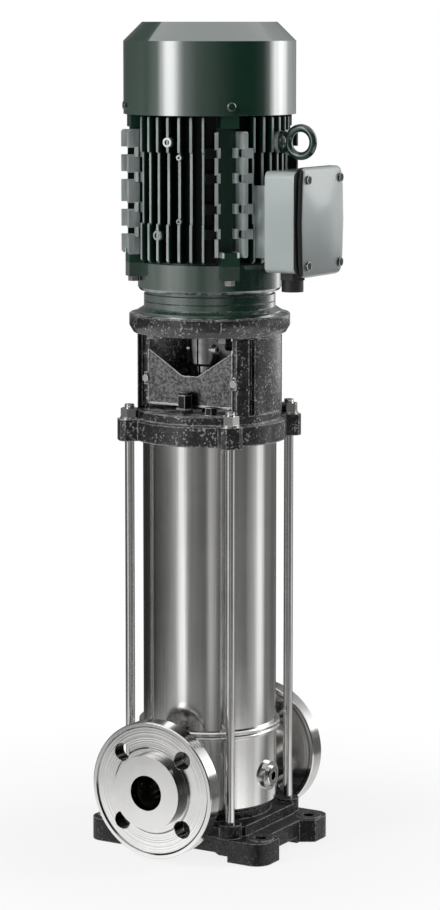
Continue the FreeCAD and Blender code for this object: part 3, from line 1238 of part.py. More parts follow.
def make_terminal_box():
    body = new_body("terminal_box")
    rounded_slab(body, "box_distance", "box_half_width", "box_base", "box_top", "box_depth",
                 "box_corner")
    rounded_slab(body, "box_face", "box_half_width - box_wall", "box_base + box_wall",
                 "box_top - box_wall", "box_depth - box_wall", "box_corner", "Pocket")
    wires = new_sketch(body, "YZ_Plane", "box_face")
    draw_circle(wires, "0", "frame_foot + pedestal_head / 2", "wire_hole_radius")
    extrude(body, wires, "box_depth", "Pocket")
    for across in ("gland_offset", "-gland_offset"):
        entry = new_sketch(body, level="box_base")
        draw_circle(entry, "box_distance + box_depth / 2", across, "gland_thread_radius + fit")
        extrude(body, entry, "box_wall", "Pocket", backwards=True)
    for across in ("box_half_width - lid_screw_inset", "-box_half_width + lid_screw_inset"):
        for level in ("box_base + lid_screw_inset", "box_top - lid_screw_inset"):
            post = new_sketch(body, "YZ_Plane", "box_distance")
            draw_circle(post, across, level, "lid_screw_inset - 1")
            extrude(body, post, "box_depth")
            hole = new_sketch(body, "YZ_Plane", "box_face")
            draw_circle(hole, across, level, "lid_screw_radius + fit")
            extrude(body, hole, "box_depth / 2", "Pocket")


def lid_screw_spots():
    spots = []
    for across in ("box_half_width - lid_screw_inset", "-box_half_width + lid_screw_inset"):
        for level in ("box_base + lid_screw_inset", "box_top - lid_screw_inset"):
            spots.append((across, level))
    return spots


def make_gasket_and_lid():
    gasket = new_body("box_gasket")
    inset = "gasket_step"
    frame = new_sketch(gasket, "YZ_Plane", "box_face")
    draw_rectangle(frame, "-box_half_width + " + inset, "box_half_width - " + inset,
                   "box_base + " + inset, "box_top - " + inset)
    extrude(gasket, frame, "gasket_thickness")
    inside = new_sketch(gasket, "YZ_Plane", "lid_face")
    half = "box_half_width - 2 * lid_screw_inset"
    draw_rectangle(inside, "-box_half_width + 2 * lid_screw_inset", half,
                   "box_base + 2 * lid_screw_inset", "box_top - 2 * lid_screw_inset")
    extrude(gasket, inside, "gasket_thickness", "Pocket")
    lid = new_body("box_lid")
    slab = rounded_slab(lid, "lid_face", "lid_half_width", "lid_base", "lid_top", "lid_depth",
                        "lid_corner")
    rim = edges_that(slab, lambda middle, run: abs(run.x) < 1e-6
                     and abs(middle.x - number("lid_face + lid_depth")) < 1e-3)
    round_edges(lid, slab, rim, "lid_edge")
    rounded_slab(lid, "lid_face", "box_half_width - 2 * lid_screw_inset",
                 "box_base + 2 * lid_screw_inset", "box_top - 2 * lid_screw_inset",
                 "lid_depth - 2 * box_wall", "lid_corner", "Pocket").Reversed = True
    screws = new_body("lid_screws")
    for across, level in lid_screw_spots():
        for part, plane in ((gasket, "lid_face"), (lid, "lid_face + lid_depth")):
            hole = new_sketch(part, "YZ_Plane", plane)
            draw_circle(hole, across, level, "lid_screw_radius + seat_gap")
            depth = "gasket_thickness" if part is gasket else "lid_depth"
            extrude(part, hole, depth, "Pocket")
        sink = new_sketch(lid, "YZ_Plane", "lid_face + lid_depth")
        draw_circle(sink, across, level, "lid_screw_head + seat_gap")
        extrude(lid, sink, "lid_screw_cap", "Pocket")
        shank = new_sketch(screws, "YZ_Plane", "box_face - box_depth / 3")
        draw_circle(shank, across, level, "lid_screw_radius")
        extrude(screws, shank, "box_depth / 3 + gasket_thickness + lid_depth - lid_screw_cap")
        cap = new_sketch(screws, "YZ_Plane", "lid_face + lid_depth - lid_screw_cap")
        draw_circle(cap, across, level, "lid_screw_head")
        extrude(screws, cap, "lid_screw_cap - 0.4")


def make_terminal_block():
    body = new_body("terminal_block")
    middle = "frame_foot + pedestal_head / 2 + wire_hole_radius + 4"
    foot = "box_distance + box_wall"
    block = new_sketch(body, "YZ_Plane", foot)
    draw_rectangle(block, "-block_half_width", "block_half_width", middle,
                   middle + " + block_height / 2")
    extrude(body, block, "block_depth")
    studs = new_body("terminal_studs")
    for across in ("-stud_spacing", "0", "stud_spacing"):
        for row in ("block_height / 8", "block_height * 3 / 8"):
            pin = new_sketch(studs, "YZ_Plane", foot + " + block_depth")
            draw_circle(pin, across, middle + " + " + row, "stud_radius")
            extrude(studs, pin, "stud_length - stud_radius")


def make_glands():
    """Cable gland and blanking plug in the underside of the box."""
    gland = new_body("cable_gland")
    centre = "box_distance + box_depth / 2"
    thread = draw_circle(new_sketch(gland, level="box_base"), centre, "-gland_offset",
                         "gland_thread_radius")
    extrude(gland, thread, "box_wall + 2")
    nut = draw_hexagon(new_sketch(gland, level="box_base"), centre, "-gland_offset",
                       "gland_hexagon")
    extrude(gland, nut, "gland_height", backwards=True)
    cap = draw_circle(new_sketch(gland, level="box_base - gland_height"), centre,
                      "-gland_offset", "gland_cap_radius")
    extrude(gland, cap, "gland_cap_height", backwards=True)
    bore = draw_circle(new_sketch(gland, level="box_base + box_wall + 2"), centre,
                       "-gland_offset", "gland_bore")
    extrude(gland, bore, "gland_height + gland_cap_height + box_wall + 3", "Pocket")
    blank = new_body("blanking_plug")
    thread = draw_circle(new_sketch(blank, level="box_base"), centre, "gland_offset",
                         "gland_thread_radius")
    extrude(blank, thread, "box_wall + 2")
    head = draw_hexagon(new_sketch(blank, level="box_base"), centre, "gland_offset",
                        "gland_hexagon")
    extrude(blank, head, "blank_height", backwards=True)


def make_lifting_eye():
    """Forged ring on a collar, screwed into the boss above the terminal box."""
    body = new_body("lifting_eye")
    revolve_sideways(body, "eye_level", [
        ("eye_boss_reach - eye_shank_length", "0"), ("eye_boss_reach + eye_collar + 2", "0"),
        ("eye_boss_reach + eye_collar + 2", "eye_collar_radius / 2"),
        ("eye_boss_reach + eye_collar", "eye_collar_radius"),
        ("eye_boss_reach", "eye_collar_radius"), ("eye_boss_reach", "eye_shank_radius"),
        ("eye_boss_reach - eye_shank_length", "eye_shank_radius")])
    doc.recompute()
    ring = body.newObject("PartDesign::AdditiveTorus", "lifting_eye_ring")
    ring.AttachmentSupport = (datum(body, "XZ_Plane"), [""])
    ring.MapMode = "FlatFace"
    bind(ring, "Radius1", "eye_ring_radius")
    bind(ring, "Radius2", "eye_wire")
    bind(ring, "AttachmentOffset.Base.x",
         "eye_boss_reach + eye_collar + eye_ring_radius + eye_wire / 2")
    bind(ring, "AttachmentOffset.Base.y", "eye_level")
    body.Tip = ring


def check_parts():
    """Stops when any object failed or any piece is empty or unsound."""
    doc.recompute()
    failed = [item.Name for item in doc.Objects
              if "Invalid" in item.State or "Error" in item.State]
    unsound = [part.Label for part in parts if part.Shape.isNull() or not part.Shape.isValid()]
    if failed or unsound:
        raise RuntimeError("failed: %s; unsound: %s" % (failed, unsound))


def write_parts():
    os.makedirs("parts", exist_ok=True)
    for part in parts:
        part.Shape.exportStep("parts/%s.step" % part.Label)
        print(part.Label, len(part.Shape.Solids), round(part.Shape.Volume))


def main():
    fill_sheet()
    make_base()
    make_casing()
    make_intake_chamber()
    make_flange("inlet_flange", 90)
    make_flange("outlet_flange", -90)
    make_drain_plug()
    make_suction_plate()
    make_stage_bowls()
    make_impellers()
    make_discharge_bowl()
    make_shaft()
    make_spacers()
    make_seal()
    make_sleeve()
    make_head_cover()
    make_rods()
    make_lantern()
    make_vent_plug()
    make_coupling_half("coupling_half_left", 90)
    make_coupling_half("coupling_half_right", -90)
    make_clamp_screws()
    make_guard("front_guard", 0)
    make_guard("rear_guard", 180)
    make_guard_screws()
    make_drive_shield()
    make_shield_screws()
    make_motor_bolts()
    make_motor_frame()
    make_rear_shield()
    make_stator()
    make_rotor()
    make_bearing("front_bearing", "front_bearing_foot")
    make_bearing("rear_bearing", "rear_bearing_foot")
    make_fan()
    make_fan_cover()
    make_cover_screws()
    make_terminal_box()
    make_gasket_and_lid()
    make_terminal_block()
    make_glands()
    make_lifting_eye()
    check_parts()
    write_parts()


main()
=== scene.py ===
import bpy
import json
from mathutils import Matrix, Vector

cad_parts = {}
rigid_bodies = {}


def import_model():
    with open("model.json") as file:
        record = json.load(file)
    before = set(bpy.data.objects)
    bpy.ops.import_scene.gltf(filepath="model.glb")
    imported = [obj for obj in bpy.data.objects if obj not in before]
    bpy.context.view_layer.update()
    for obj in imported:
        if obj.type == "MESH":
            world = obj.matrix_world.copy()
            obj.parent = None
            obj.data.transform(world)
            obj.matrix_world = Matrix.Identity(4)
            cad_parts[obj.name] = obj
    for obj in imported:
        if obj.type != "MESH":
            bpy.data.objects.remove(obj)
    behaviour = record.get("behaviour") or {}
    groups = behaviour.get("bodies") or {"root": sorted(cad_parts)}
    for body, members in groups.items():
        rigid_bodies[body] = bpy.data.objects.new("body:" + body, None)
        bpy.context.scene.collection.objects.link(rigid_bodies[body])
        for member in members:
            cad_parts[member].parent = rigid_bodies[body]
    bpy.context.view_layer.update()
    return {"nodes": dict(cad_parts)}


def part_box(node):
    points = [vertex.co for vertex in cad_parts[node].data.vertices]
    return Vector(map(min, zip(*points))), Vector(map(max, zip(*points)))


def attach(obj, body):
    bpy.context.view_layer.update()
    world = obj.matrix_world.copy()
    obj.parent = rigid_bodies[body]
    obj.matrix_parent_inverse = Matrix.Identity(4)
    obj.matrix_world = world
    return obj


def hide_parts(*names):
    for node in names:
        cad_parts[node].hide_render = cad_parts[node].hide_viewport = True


bl_info = {
    "name": "Vertical multistage pump",
    "version": (1, 0, 0),
    "blender": (4, 5, 0),
    "location": "3D View > Sidebar > Pump",
    "description": "Finishes, fittings and studio for a vertical multistage pump",
    "category": "Add Mesh",
}

import json
import math

import bmesh
import bpy
from bpy.props import FloatProperty, FloatVectorProperty, IntProperty, PointerProperty
from mathutils import Vector

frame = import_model()

MM = 0.001
FULL_TURN = 2.0 * math.pi
DEGREES = 360.0 / FULL_TURN


# Sizes and colours that a user would change


def length_setting(name, description, default):
    return FloatProperty(name=name, description=description, default=default, unit="LENGTH")


def colour_setting(name, description, default):
    return FloatVectorProperty(name=name, description=description, default=default, subtype="COLOR", size=3)


def angle_setting(name, description, degrees):
    return FloatProperty(name=name, description=description, default=math.radians(degrees), unit="ROTATION")


def power_setting(name, description, default):
    return FloatProperty(name=name, description=description, default=default, unit="POWER")


class PumpSizes(bpy.types.PropertyGroup):
    """Sizes of the fittings that are added to the frame."""

    soft_edge: length_setting("Soft edge", "Roundness of the cast and painted edges", 0.0007)
    thread_pitch: length_setting("Thread pitch", "Pitch of the tie rod threads", 0.0015)
    lid_plate: length_setting("Lid plate", "Thickness of the lid's face plate in front of its dark groove", 0.0045)
    lid_barrel: length_setting("Lid barrel", "How far the lid's long sides bulge at mid height", 0.0042)
    lid_crown: length_setting("Lid crown", "How far the lid's face is domed", 0.0035)
    boss_radius: length_setting("Boss radius", "Outer radius of the large rings cast on the fins", 0.0056)
    ball_rings: IntProperty(
        name="Ball detail", description="Subdivisions of each bearing ball", default=3, min=1, max=4)


class PumpColours(bpy.types.PropertyGroup):
    """Colours of the finishes."""

    paint: colour_setting("Paint", "Dark green enamel", (0.014, 0.051, 0.033))
    # Pale enamel of the terminal box and its lid; on the motor housing the same colour, brightened, is painted
    # highlight on the fin tips, rail faces and lit tabs.
    pale_paint_and_highlight: colour_setting(
        "Pale paint", "Pale enamel of the terminal box and the rail faces", (0.27, 0.30, 0.295))
    casting: colour_setting("Casting", "Black enamel on cast iron", (0.006, 0.006, 0.007))
    steel: colour_setting("Steel", "Polished stainless steel", (0.74, 0.735, 0.72))
    plating: colour_setting("Plating", "Zinc plating of the screws", (0.50, 0.50, 0.49))
    floor: colour_setting("Floor", "Plain pale floor", (0.80, 0.80, 0.80))


class PumpStudio(bpy.types.PropertyGroup):
    """The camera and the lamps."""

    camera_distance: length_setting("Camera distance", "From the pump's axis to the camera, level", 2.937)
    camera_height: length_setting("Camera height", "Height of the camera over the floor", 0.845)
    camera_turn: angle_setting("Camera turn", "Camera's place round the axis, from the inlet side", 30.9)
    camera_tilt: angle_setting("Camera tilt", "How far the camera looks down", 6.49)
    lens: FloatProperty(name="Lens", description="Focal length for a picture 36 mm high", default=114.17)
    key_power: power_setting("Key lamp", "Power of the lamp on the left", 46.0)
    side_power: power_setting("Side lamp", "Power of the lamp on the right", 30.0)


def sizes():
    return bpy.context.scene.pump_sizes


def colours():
    return bpy.context.scene.pump_colours


def studio():
    return bpy.context.scene.pump_studio


# Node trees


class Value:
    """A number that varies over a surface or a mesh, written with plain arithmetic."""

    def __init__(self, graph, socket):
        self.graph = graph
        self.socket = socket

    def maths(self, operation, first, second=0.0):
        return self.graph.value("ShaderNodeMath", {"operation": operation}, {0: first, 1: second})

    def __add__(self, other):
        return self.maths("ADD", self, other)

    def __sub__(self, other):
        return self.maths("SUBTRACT", self, other)

    def __rsub__(self, other):
        return self.maths("SUBTRACT", other, self)

    def __mul__(self, other):
        return self.maths("MULTIPLY", self, other)

    def __truediv__(self, other):
        return self.maths("DIVIDE", self, other)

    def __pow__(self, other):
        return self.maths("POWER", self, other)

    __radd__ = __add__
    __rmul__ = __mul__

    def larger(self, other):
        return self.maths("MAXIMUM", self, other)

    def size(self):
        return self.maths("ABSOLUTE", self)

    def rise(self, low, high):
        """0 up to low, 1 from high on, and a smooth rise between them."""
        return self.graph.value(
            "ShaderNodeMapRange", {"interpolation_type": "SMOOTHSTEP"}, {0: self, 1: low, 2: high})


class Graph:
    """A node tree that is being built."""

    def __init__(self, tree):
        self.tree = tree
        self.tree.nodes.clear()

    def node(self, kind, settings=None, sockets=None):
        made = self.tree.nodes.new(kind)
        for name, setting in (settings or {}).items():
            if name == "stops":
                self.set_stops(made.color_ramp, setting)
            else:
                setattr(made, name, setting)
        for key, value in (sockets or {}).items():
            several = value if isinstance(value, list) else [value]
            for one in several:
                one = one.socket if isinstance(one, Value) else one
                if isinstance(one, bpy.types.NodeSocket):
                    self.tree.links.new(one, made.inputs[key])
                else:
                    made.inputs[key].default_value = one
        return made

    def set_stops(self, ramp, stops):
        ramp.elements.remove(ramp.elements[1])
        for k, (position, level) in enumerate(stops):
            element = ramp.elements[0] if k == 0 else ramp.elements.new(position)
            element.position = position
            element.color = (level, level, level, 1.0)

    def value(self, kind, settings=None, sockets=None, output=0):
        return Value(self, self.node(kind, settings, sockets).outputs[output])


class Finish(Graph):
    """A material whose patterns follow Object coordinates."""

    def __init__(self, name):
        self.material = bpy.data.materials.new(name)
        self.material.use_nodes = True
        super().__init__(self.material.node_tree)
        self.place = self.node("ShaderNodeTexCoord").outputs["Object"]
        self.axes = self.node("ShaderNodeSeparateXYZ", None, {0: self.place})

    def along(self, axis):
        return Value(self, self.axes.outputs[axis])

    def radius(self):
        """Distance from the pump's axis."""
        return (self.along("X") * self.along("X") + self.along("Y") * self.along("Y")) ** 0.5

    def grain(self, scale, detail=3.0, stretch=(1.0, 1.0, 1.0)):
        stretched = self.node("ShaderNodeMapping", None, {"Vector": self.place, "Scale": stretch})
        return self.value(
            "ShaderNodeTexNoise", None, {"Vector": stretched.outputs[0], "Scale": scale, "Detail": detail})

    def pits(self, scale):
        return self.value("ShaderNodeTexVoronoi", None, {"Vector": self.place, "Scale": scale})

    def facing(self, axis):
        """How much the surface looks along an axis, from -1 to 1."""
        normal = self.node("ShaderNodeNewGeometry").outputs["Normal"]
        return self.value("ShaderNodeSeparateXYZ", None, {0: normal}, output="XYZ".index(axis))

    def turn(self):
        """Degrees round the pump's axis, from the terminal box away from the inlet."""
        angle = self.value("ShaderNodeMath", {"operation": "ARCTAN2"}, {0: self.along("Y"), 1: self.along("X")})
        return angle * DEGREES

    def within(self, value, low, high, soft):
        """1 between low and high, 0 outside."""
        return value.rise(low - soft, low + soft) * (1.0 - value.rise(high - soft, high + soft))

    def soft_normal(self, radius):
        return self.node("ShaderNodeBevel", {"samples": 4}, {"Radius": radius}).outputs[0]

    def edges(self, radius, low=0.02, high=0.16):
        """1 along the sharp edges, where a rounded normal leaves the true one."""
        true = self.node("ShaderNodeNewGeometry").outputs["Normal"]
        alike = self.node(
            "ShaderNodeVectorMath", {"operation": "DOT_PRODUCT"}, {0: self.soft_normal(radius), 1: true})
        return (1.0 - Value(self, alike.outputs["Value"])).rise(low, high)

    def bump(self, height, distance, strength=1.0, normal=None):
        sockets = {"Height": height, "Distance": distance, "Strength": strength}
        if normal is not None:
            sockets["Normal"] = normal
        return self.node("ShaderNodeBump", None, sockets).outputs[0]

    def blended(self, amount, first, second):
        """Colour first where amount is 0 and second where it is 1."""
        sockets = {0: amount, 6: opaque(first), 7: opaque(second)}
        return self.node("ShaderNodeMix", {"data_type": "RGBA"}, sockets).outputs[2]

    def close(self, sockets):
        shader = self.node("ShaderNodeBsdfPrincipled", None, sockets)
        self.node("ShaderNodeOutputMaterial", None, {"Surface": shader.outputs[0]})
        return self.material


def opaque(colour):
    if isinstance(colour, bpy.types.NodeSocket):
        return colour
    return (*colour, 1.0)


def shade(colour, factor):
    return tuple(min(1.0, part * factor) for part in colour)


# Finishes


def enamel(name, colour, tip_highlight_colour=None, gloss=0.16, tip_highlight_radius=None, coat=2.5):
    """Sprayed gloss paint with orange peel, faint dust on top, and a painted highlight in a paler colour on faces
    beyond a given radius.
    """
    finish = Finish(name)
    patches = finish.grain(14.0, 4.0)
    peel = finish.grain(420.0, 2.0)
    dust = finish.facing("Z").rise(0.55, 1.0) * finish.grain(160.0, 5.0).rise(0.45, 0.75)
    base = finish.blended(patches, shade(colour, 0.8), shade(colour, 1.2))
    if tip_highlight_radius is not None:
        # Painted highlight: a paler colour on the tips, past the given radius from the axis.
        tip_highlight = finish.radius().rise(*tip_highlight_radius)
        base = finish.blended(tip_highlight, base, tip_highlight_colour)
    base = finish.blended(dust * 0.18, base, (0.30, 0.30, 0.28))
    soft = finish.soft_normal(sizes().soft_edge)
    return finish.close({
        "Base Color": base,
        "Roughness": gloss + patches * 0.07 + dust * 0.25,
        "Normal": finish.bump(peel, 0.00004, 0.6, soft),
        "Specular IOR Level": 0.8 if coat > 2.0 else 0.4,
        "Coat Weight": 1.0,
        "Coat IOR": coat,
        "Coat Roughness": 0.06,
    })


# Places on the motor housing, in metres from the axis or the floor, or in degrees from the middle
# of the nearest pair of foot rails.
RAIL_SPAN = (0.6118, 0.7374)
RAIL_SIDE = (4.4, 8.95)
RAIL_OUTSIDE = (8.2, 8.6)
RAIL_INNER_FLANK = (8.0, 8.4)
RAIL_FOOT_RADIUS = (0.0674, 0.0682)
RAIL_TIP_RADIUS = (0.0885, 0.0890)
LIT_TABS = (9.2, 17.2)
LIT_TAB_RADIUS = (0.0776, 0.0782)
SHADED_TABS = (-17.2, -9.3)
FIN_START = (18.0, 18.2)
FIN_TIP_RADIUS = (0.0806, 0.0816)
FIN_BAND = (0.6435, 0.7155)
FIN_BAND_RADIUS = (0.0783, 0.0792)
GAP_RADIUS = (0.0735, 0.081)
BARREL_FOOT = (0.6035, 0.6065)
SEAT_HALF_WIDTH = 0.0345
SEAT_REACH = (0.0745, 0.0755)
SEAT_TOP = (0.6832, 0.6838)


def fin_enamel(name):
    """Motor housing: painted shade, near black, in the gaps between the fins and on the shaded tabs; painted
    highlight, pale to near white, on the fin tips, the rails and the lit tabs; pale on the box seat.
    """
    finish = Finish(name)
    paint = colours().paint
    radius = finish.radius()
    level = finish.along("Z")
    aside = finish.value("ShaderNodeMath", {"operation": "WRAP"}, {0: finish.turn() + 45.0, 1: 45.0, 2: -45.0})
    off = aside.larger(aside * -1.0)
    # Painted shade: the tabs on the shaded side are made near black.
    shaded_tabs = finish.within(aside, *SHADED_TABS, 0.1) * finish.within(level, *RAIL_SPAN, 0.0002)
    # depth is 0 where painted shade goes near black: in the gaps between the fins, below the barrel's foot and on
    # the shaded tabs.
    depth = radius.rise(*GAP_RADIUS).larger(1.0 - level.rise(*BARREL_FOOT))
    depth = depth.larger(1.0 - off.rise(*RAIL_OUTSIDE)) * (1.0 - shaded_tabs)
    band = finish.within(level, *FIN_BAND, 0.001)
    tips = radius.rise(*FIN_TIP_RADIUS).larger(band * radius.rise(*FIN_BAND_RADIUS))
    fins = off.rise(*FIN_START) * tips
    rails = finish.within(level, *RAIL_SPAN, 0.0002)
    flanks = rails * finish.within(off, *RAIL_SIDE, 0.1) * radius.rise(*RAIL_FOOT_RADIUS)
    tabs = rails * finish.within(aside, *LIT_TABS, 0.1) * radius.rise(*LIT_TAB_RADIUS)
    seat = finish.within(finish.along("Y"), -SEAT_HALF_WIDTH, SEAT_HALF_WIDTH, 0.0003)
    seat = seat * finish.along("X").rise(*SEAT_REACH) * (1.0 - level.rise(*SEAT_TOP))
    # pale marks where painted highlight goes (fin tips, rail flanks, lit tabs, rail tips), and the pale box seat.
    pale = fins.larger(flanks).larger(tabs).larger(seat).larger(radius.rise(*RAIL_TIP_RADIUS) * (1.0 - seat))
    patches = finish.grain(26.0, 4.0)
    base = finish.blended(depth, shade(paint, 0.04), shade(paint, 0.8))
    streaks = finish.grain(240.0, 3.0, (1.0, 1.0, 0.12))
    # Painted highlight, patchy and streaked, dimmer on the inner part of the rail flanks.
    bright = pale * (patches * 0.8 + streaks * 0.9)
    inner = flanks * (1.0 - off.rise(*RAIL_INNER_FLANK))
    lit = finish.blended(inner, shade(colours().pale_paint_and_highlight, 1.6), shade(colours().pale_paint_and_highlight, 3.4))
    base = finish.blended(bright, base, lit)
    peel = finish.grain(420.0, 2.0)
    return finish.close({
        "Base Color": base,
        "Roughness": 0.3 + patches * 0.15,
        "Normal": finish.bump(peel, 0.00004, 0.6, finish.soft_normal(0.0005)),
        "Specular IOR Level": 0.3,
        "Coat Weight": depth * 0.35,
        "Coat Roughness": 0.15,
    })


def lid_enamel(name):
    """Lid of the terminal box: pale face; painted shade, near black, in the groove behind it and on the sides
    facing along Y; painted shade making it darker towards its foot.
    """
    finish = Finish(name)
    pale = shade(colours().pale_paint_and_highlight, 1.55)
    patches = finish.grain(14.0, 4.0)
    peel = finish.grain(420.0, 2.0)
    low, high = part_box("box_lid")
    plate = high[0] - sizes().lid_plate
    # Painted shade: near black in the groove behind the face plate and on the sides facing along Y.
    groove = 1.0 - finish.along("X").rise(plate - 0.0042, plate - 0.0036)
    groove = groove.larger(finish.facing("Y").size().rise(0.42, 0.62))
    # Painted shade: darker towards the lid's foot.
    foot = 1.0 - finish.along("Z").rise(low[2], low[2] + 0.09)
    base = finish.blended(patches, shade(pale, 0.92), shade(pale, 1.12))
    base = finish.blended(foot * 0.75, base, shade(pale, 0.42))
    base = finish.blended(groove, base, (0.004, 0.006, 0.005))
    return finish.close({
        "Base Color": base,
        "Roughness": 0.26 + patches * 0.08 + groove * 0.4,
        "Normal": finish.bump(peel, 0.00004, 0.6, finish.soft_normal(sizes().soft_edge)),
        "Coat Weight": 0.5 - groove * 0.5,
        "Coat Roughness": 0.08,
    })


def casting(name, colour, rough=0.24, tint=(1.0, 1.0, 1.0), glint_and_wear=1.0):
    """Black enamel over sand-cast iron: lumpy, with pale specks that are painted glints, and bright edges and
    upward patches that are partly wear and partly painted highlight.
    """
    finish = Finish(name)
    lumps = finish.grain(95.0, 5.0)
    sand = finish.grain(430.0, 4.0)
    pits = finish.pits(260.0)
    rubbed = lumps.rise(0.42, 0.70) * sand.rise(0.40, 0.66)
    # Painted glints: small pale specks in the base colour.
    specks = sand.rise(0.56, 0.64) * lumps.rise(0.40, 0.60)
    grey = shade(tint, 0.03 + 0.035 * glint_and_wear)
    base = finish.blended(rubbed, colour, grey)
    base = finish.blended(specks * (0.25 + 0.65 * glint_and_wear), base, shade(tint, 0.45))
    # Partly wear and partly painted highlight: near white on upward faces and along edges.
    sills = finish.facing("Z").rise(0.85, 0.97) * lumps.rise(0.44, 0.54) * glint_and_wear
    wear_and_edge_highlight = sills.larger(finish.edges(0.0016) * sand.rise(0.34, 0.52))
    base = finish.blended(wear_and_edge_highlight, base, (0.66, 0.66, 0.65))
    height = lumps * 0.7 + sand * 0.35 + pits * 0.25
    return finish.close({
        "Base Color": base,
        "Roughness": rough + sand * 0.16,
        "Normal": finish.bump(height, 0.0013, 0.9, finish.soft_normal(0.0016)),
        "Specular IOR Level": 0.25 + 0.25 * glint_and_wear,
        "Coat Weight": 0.2 + 0.4 * glint_and_wear,
        "Coat Roughness": 0.09,
    })


STEEL_IN_SHADE = (0.03, 0.03, 0.03)
WORN_EDGE_AND_HIGHLIGHT = (0.95, 0.95, 0.94)
COLLAR_BACK = (0.1143, 0.1147)


def metal(name, colour, rough, streak, bite=0.35, tint=0.9, ripple=0.0, edge_wear_and_highlight=0.0, clouding=18.0, collar_shade=False):
    """Worked metal: fine marks along one direction, cloudy patches, small scratches, bright edges that are partly
    wear and partly painted highlight, and painted shade on the side walls of the port collars.
    """
    finish = Finish(name)
    marks = finish.grain(900.0, 3.0, streak)
    clouds = finish.grain(clouding, 5.0)
    specks = finish.grain(1500.0, 2.0).rise(0.62, 0.74)
    height = marks * 0.7 + specks * 0.4
    base = finish.blended(clouds.rise(0.3, 0.7), shade(colour, tint), colour)
    normal = finish.soft_normal(0.0004)
    if ripple:
        normal = finish.bump(finish.grain(70.0, 3.0, (1.0, 1.0, 0.03)), ripple, 0.6, normal)
    # Bright edges: partly wear, partly painted highlight.
    if edge_wear_and_highlight:
        base = finish.blended(finish.edges(0.0008 + 0.0010 * edge_wear_and_highlight) * edge_wear_and_highlight, base, WORN_EDGE_AND_HIGHLIGHT)
    if collar_shade:
        # Painted shade: near black on the side walls of the port collars.
        sides = finish.along("Y").size().rise(*COLLAR_BACK) * (1.0 - finish.facing("Y").size().rise(0.3, 0.6))
        base = finish.blended(sides * 0.8, base, STEEL_IN_SHADE)
    return finish.close({
        "Base Color": base,
        "Metallic": 1.0,
        "Roughness": rough + clouds * 0.07 + marks * 0.06 + specks * 0.1,
        "Normal": finish.bump(height, 0.00003, bite, normal),
    })


# Across and up from the port's axis to each bolt hole, which lie between its upright and level.
BOLT_OFFSET = 0.05 * math.sin(math.pi / 4)


def turned_metal(name, colour, rough=0.09):
    """Steel faced on a lathe: fine rings about the ports' own level axis, with painted shade in the bolt holes, on
    the hub's side walls, on two ring lines and in the drain plug's socket, and bright edges that are partly wear
    and partly painted highlight.
    """
    finish = Finish(name)
    up = finish.along("Z") - sum(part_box("inlet_flange")[k][2] for k in (0, 1)) / 2
    reach = (finish.along("X") * finish.along("X") + up * up) ** 0.5
    rings = finish.node("ShaderNodeCombineXYZ", None, {0: reach, 1: finish.along("Y")}).outputs[0]
    grooves = finish.value("ShaderNodeTexNoise", None, {"Vector": rings, "Scale": 520.0, "Detail": 4.0})
    clouds = finish.grain(22.0, 4.0)
    base = finish.blended(clouds.rise(0.3, 0.7), shade(colour, 0.86), colour)
    sideways = 1.0 - finish.facing("Y").size().rise(0.45, 0.75)
    beside = finish.along("X").size() - BOLT_OFFSET
    above = up.size() - BOLT_OFFSET
    holes = 1.0 - ((beside * beside + above * above) ** 0.5).rise(0.0093, 0.0095)
    lines = finish.within(reach, 0.0643, 0.0662, 0.0002) + finish.within(reach, 0.0428, 0.0449, 0.0002)
    hub = sideways * finish.within(reach, 0.0300, 0.0450, 0.0002).larger(reach.rise(0.0690, 0.0694) * 0.45)
    low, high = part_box("drain_plug")
    across = finish.along("Y") - (low[1] + high[1]) / 2
    over = finish.along("Z") - (low[2] + high[2]) / 2
    socket = (1.0 - ((across * across + over * over) ** 0.5).rise(0.0048, 0.0051))
    socket = socket * finish.within(finish.along("X"), 0.06, high[0] - 0.0004, 0.0001)
    # Painted shade, near black: the bolt holes, the hub's side walls, two ring lines and the drain plug's hex
    # socket.
    dark = holes.larger(hub * 0.75).larger(lines * 0.6).larger(socket)
    base = finish.blended(dark, base, STEEL_IN_SHADE)
    # Bright edges: partly wear, partly painted highlight.
    base = finish.blended(finish.edges(0.0012) * 0.8, base, WORN_EDGE_AND_HIGHLIGHT)
    return finish.close({
        "Base Color": base,
        "Metallic": 1.0,
        "Roughness": rough + clouds * 0.08,
        "Normal": finish.bump(grooves, 0.0002, 0.5, finish.soft_normal(0.0004)),
    })


def laminated(name, colour, pitch):
    """Stacked sheet steel, or wound wire: fine ridges across the axis."""
    finish = Finish(name)
    wave = finish.value("ShaderNodeMath", {"operation": "PINGPONG"}, {0: finish.along("Z"), 1: pitch})
    ridges = wave / pitch
    clouds = finish.grain(60.0, 3.0)
    return finish.close({
        "Base Color": finish.blended(clouds, shade(colour, 0.6), colour),
        "Metallic": 0.85,
        "Roughness": 0.3 + clouds * 0.2,
        "Normal": finish.bump(ridges, 0.0003, 0.7),
    })


def moulded(name, colour, rough=0.45, scale=700.0):
    """Moulded plastic, rubber or carbon with a fine leathery grain."""
    finish = Finish(name)
    grain = finish.grain(scale, 4.0)
    clouds = finish.grain(30.0, 3.0)
    return finish.close({
        "Base Color": finish.blended(clouds, shade(colour, 0.75), shade(colour, 1.3)),
        "Roughness": rough + grain * 0.15,
        "Normal": finish.bump(grain, 0.00006, 0.5, finish.soft_normal(0.0004)),
    })


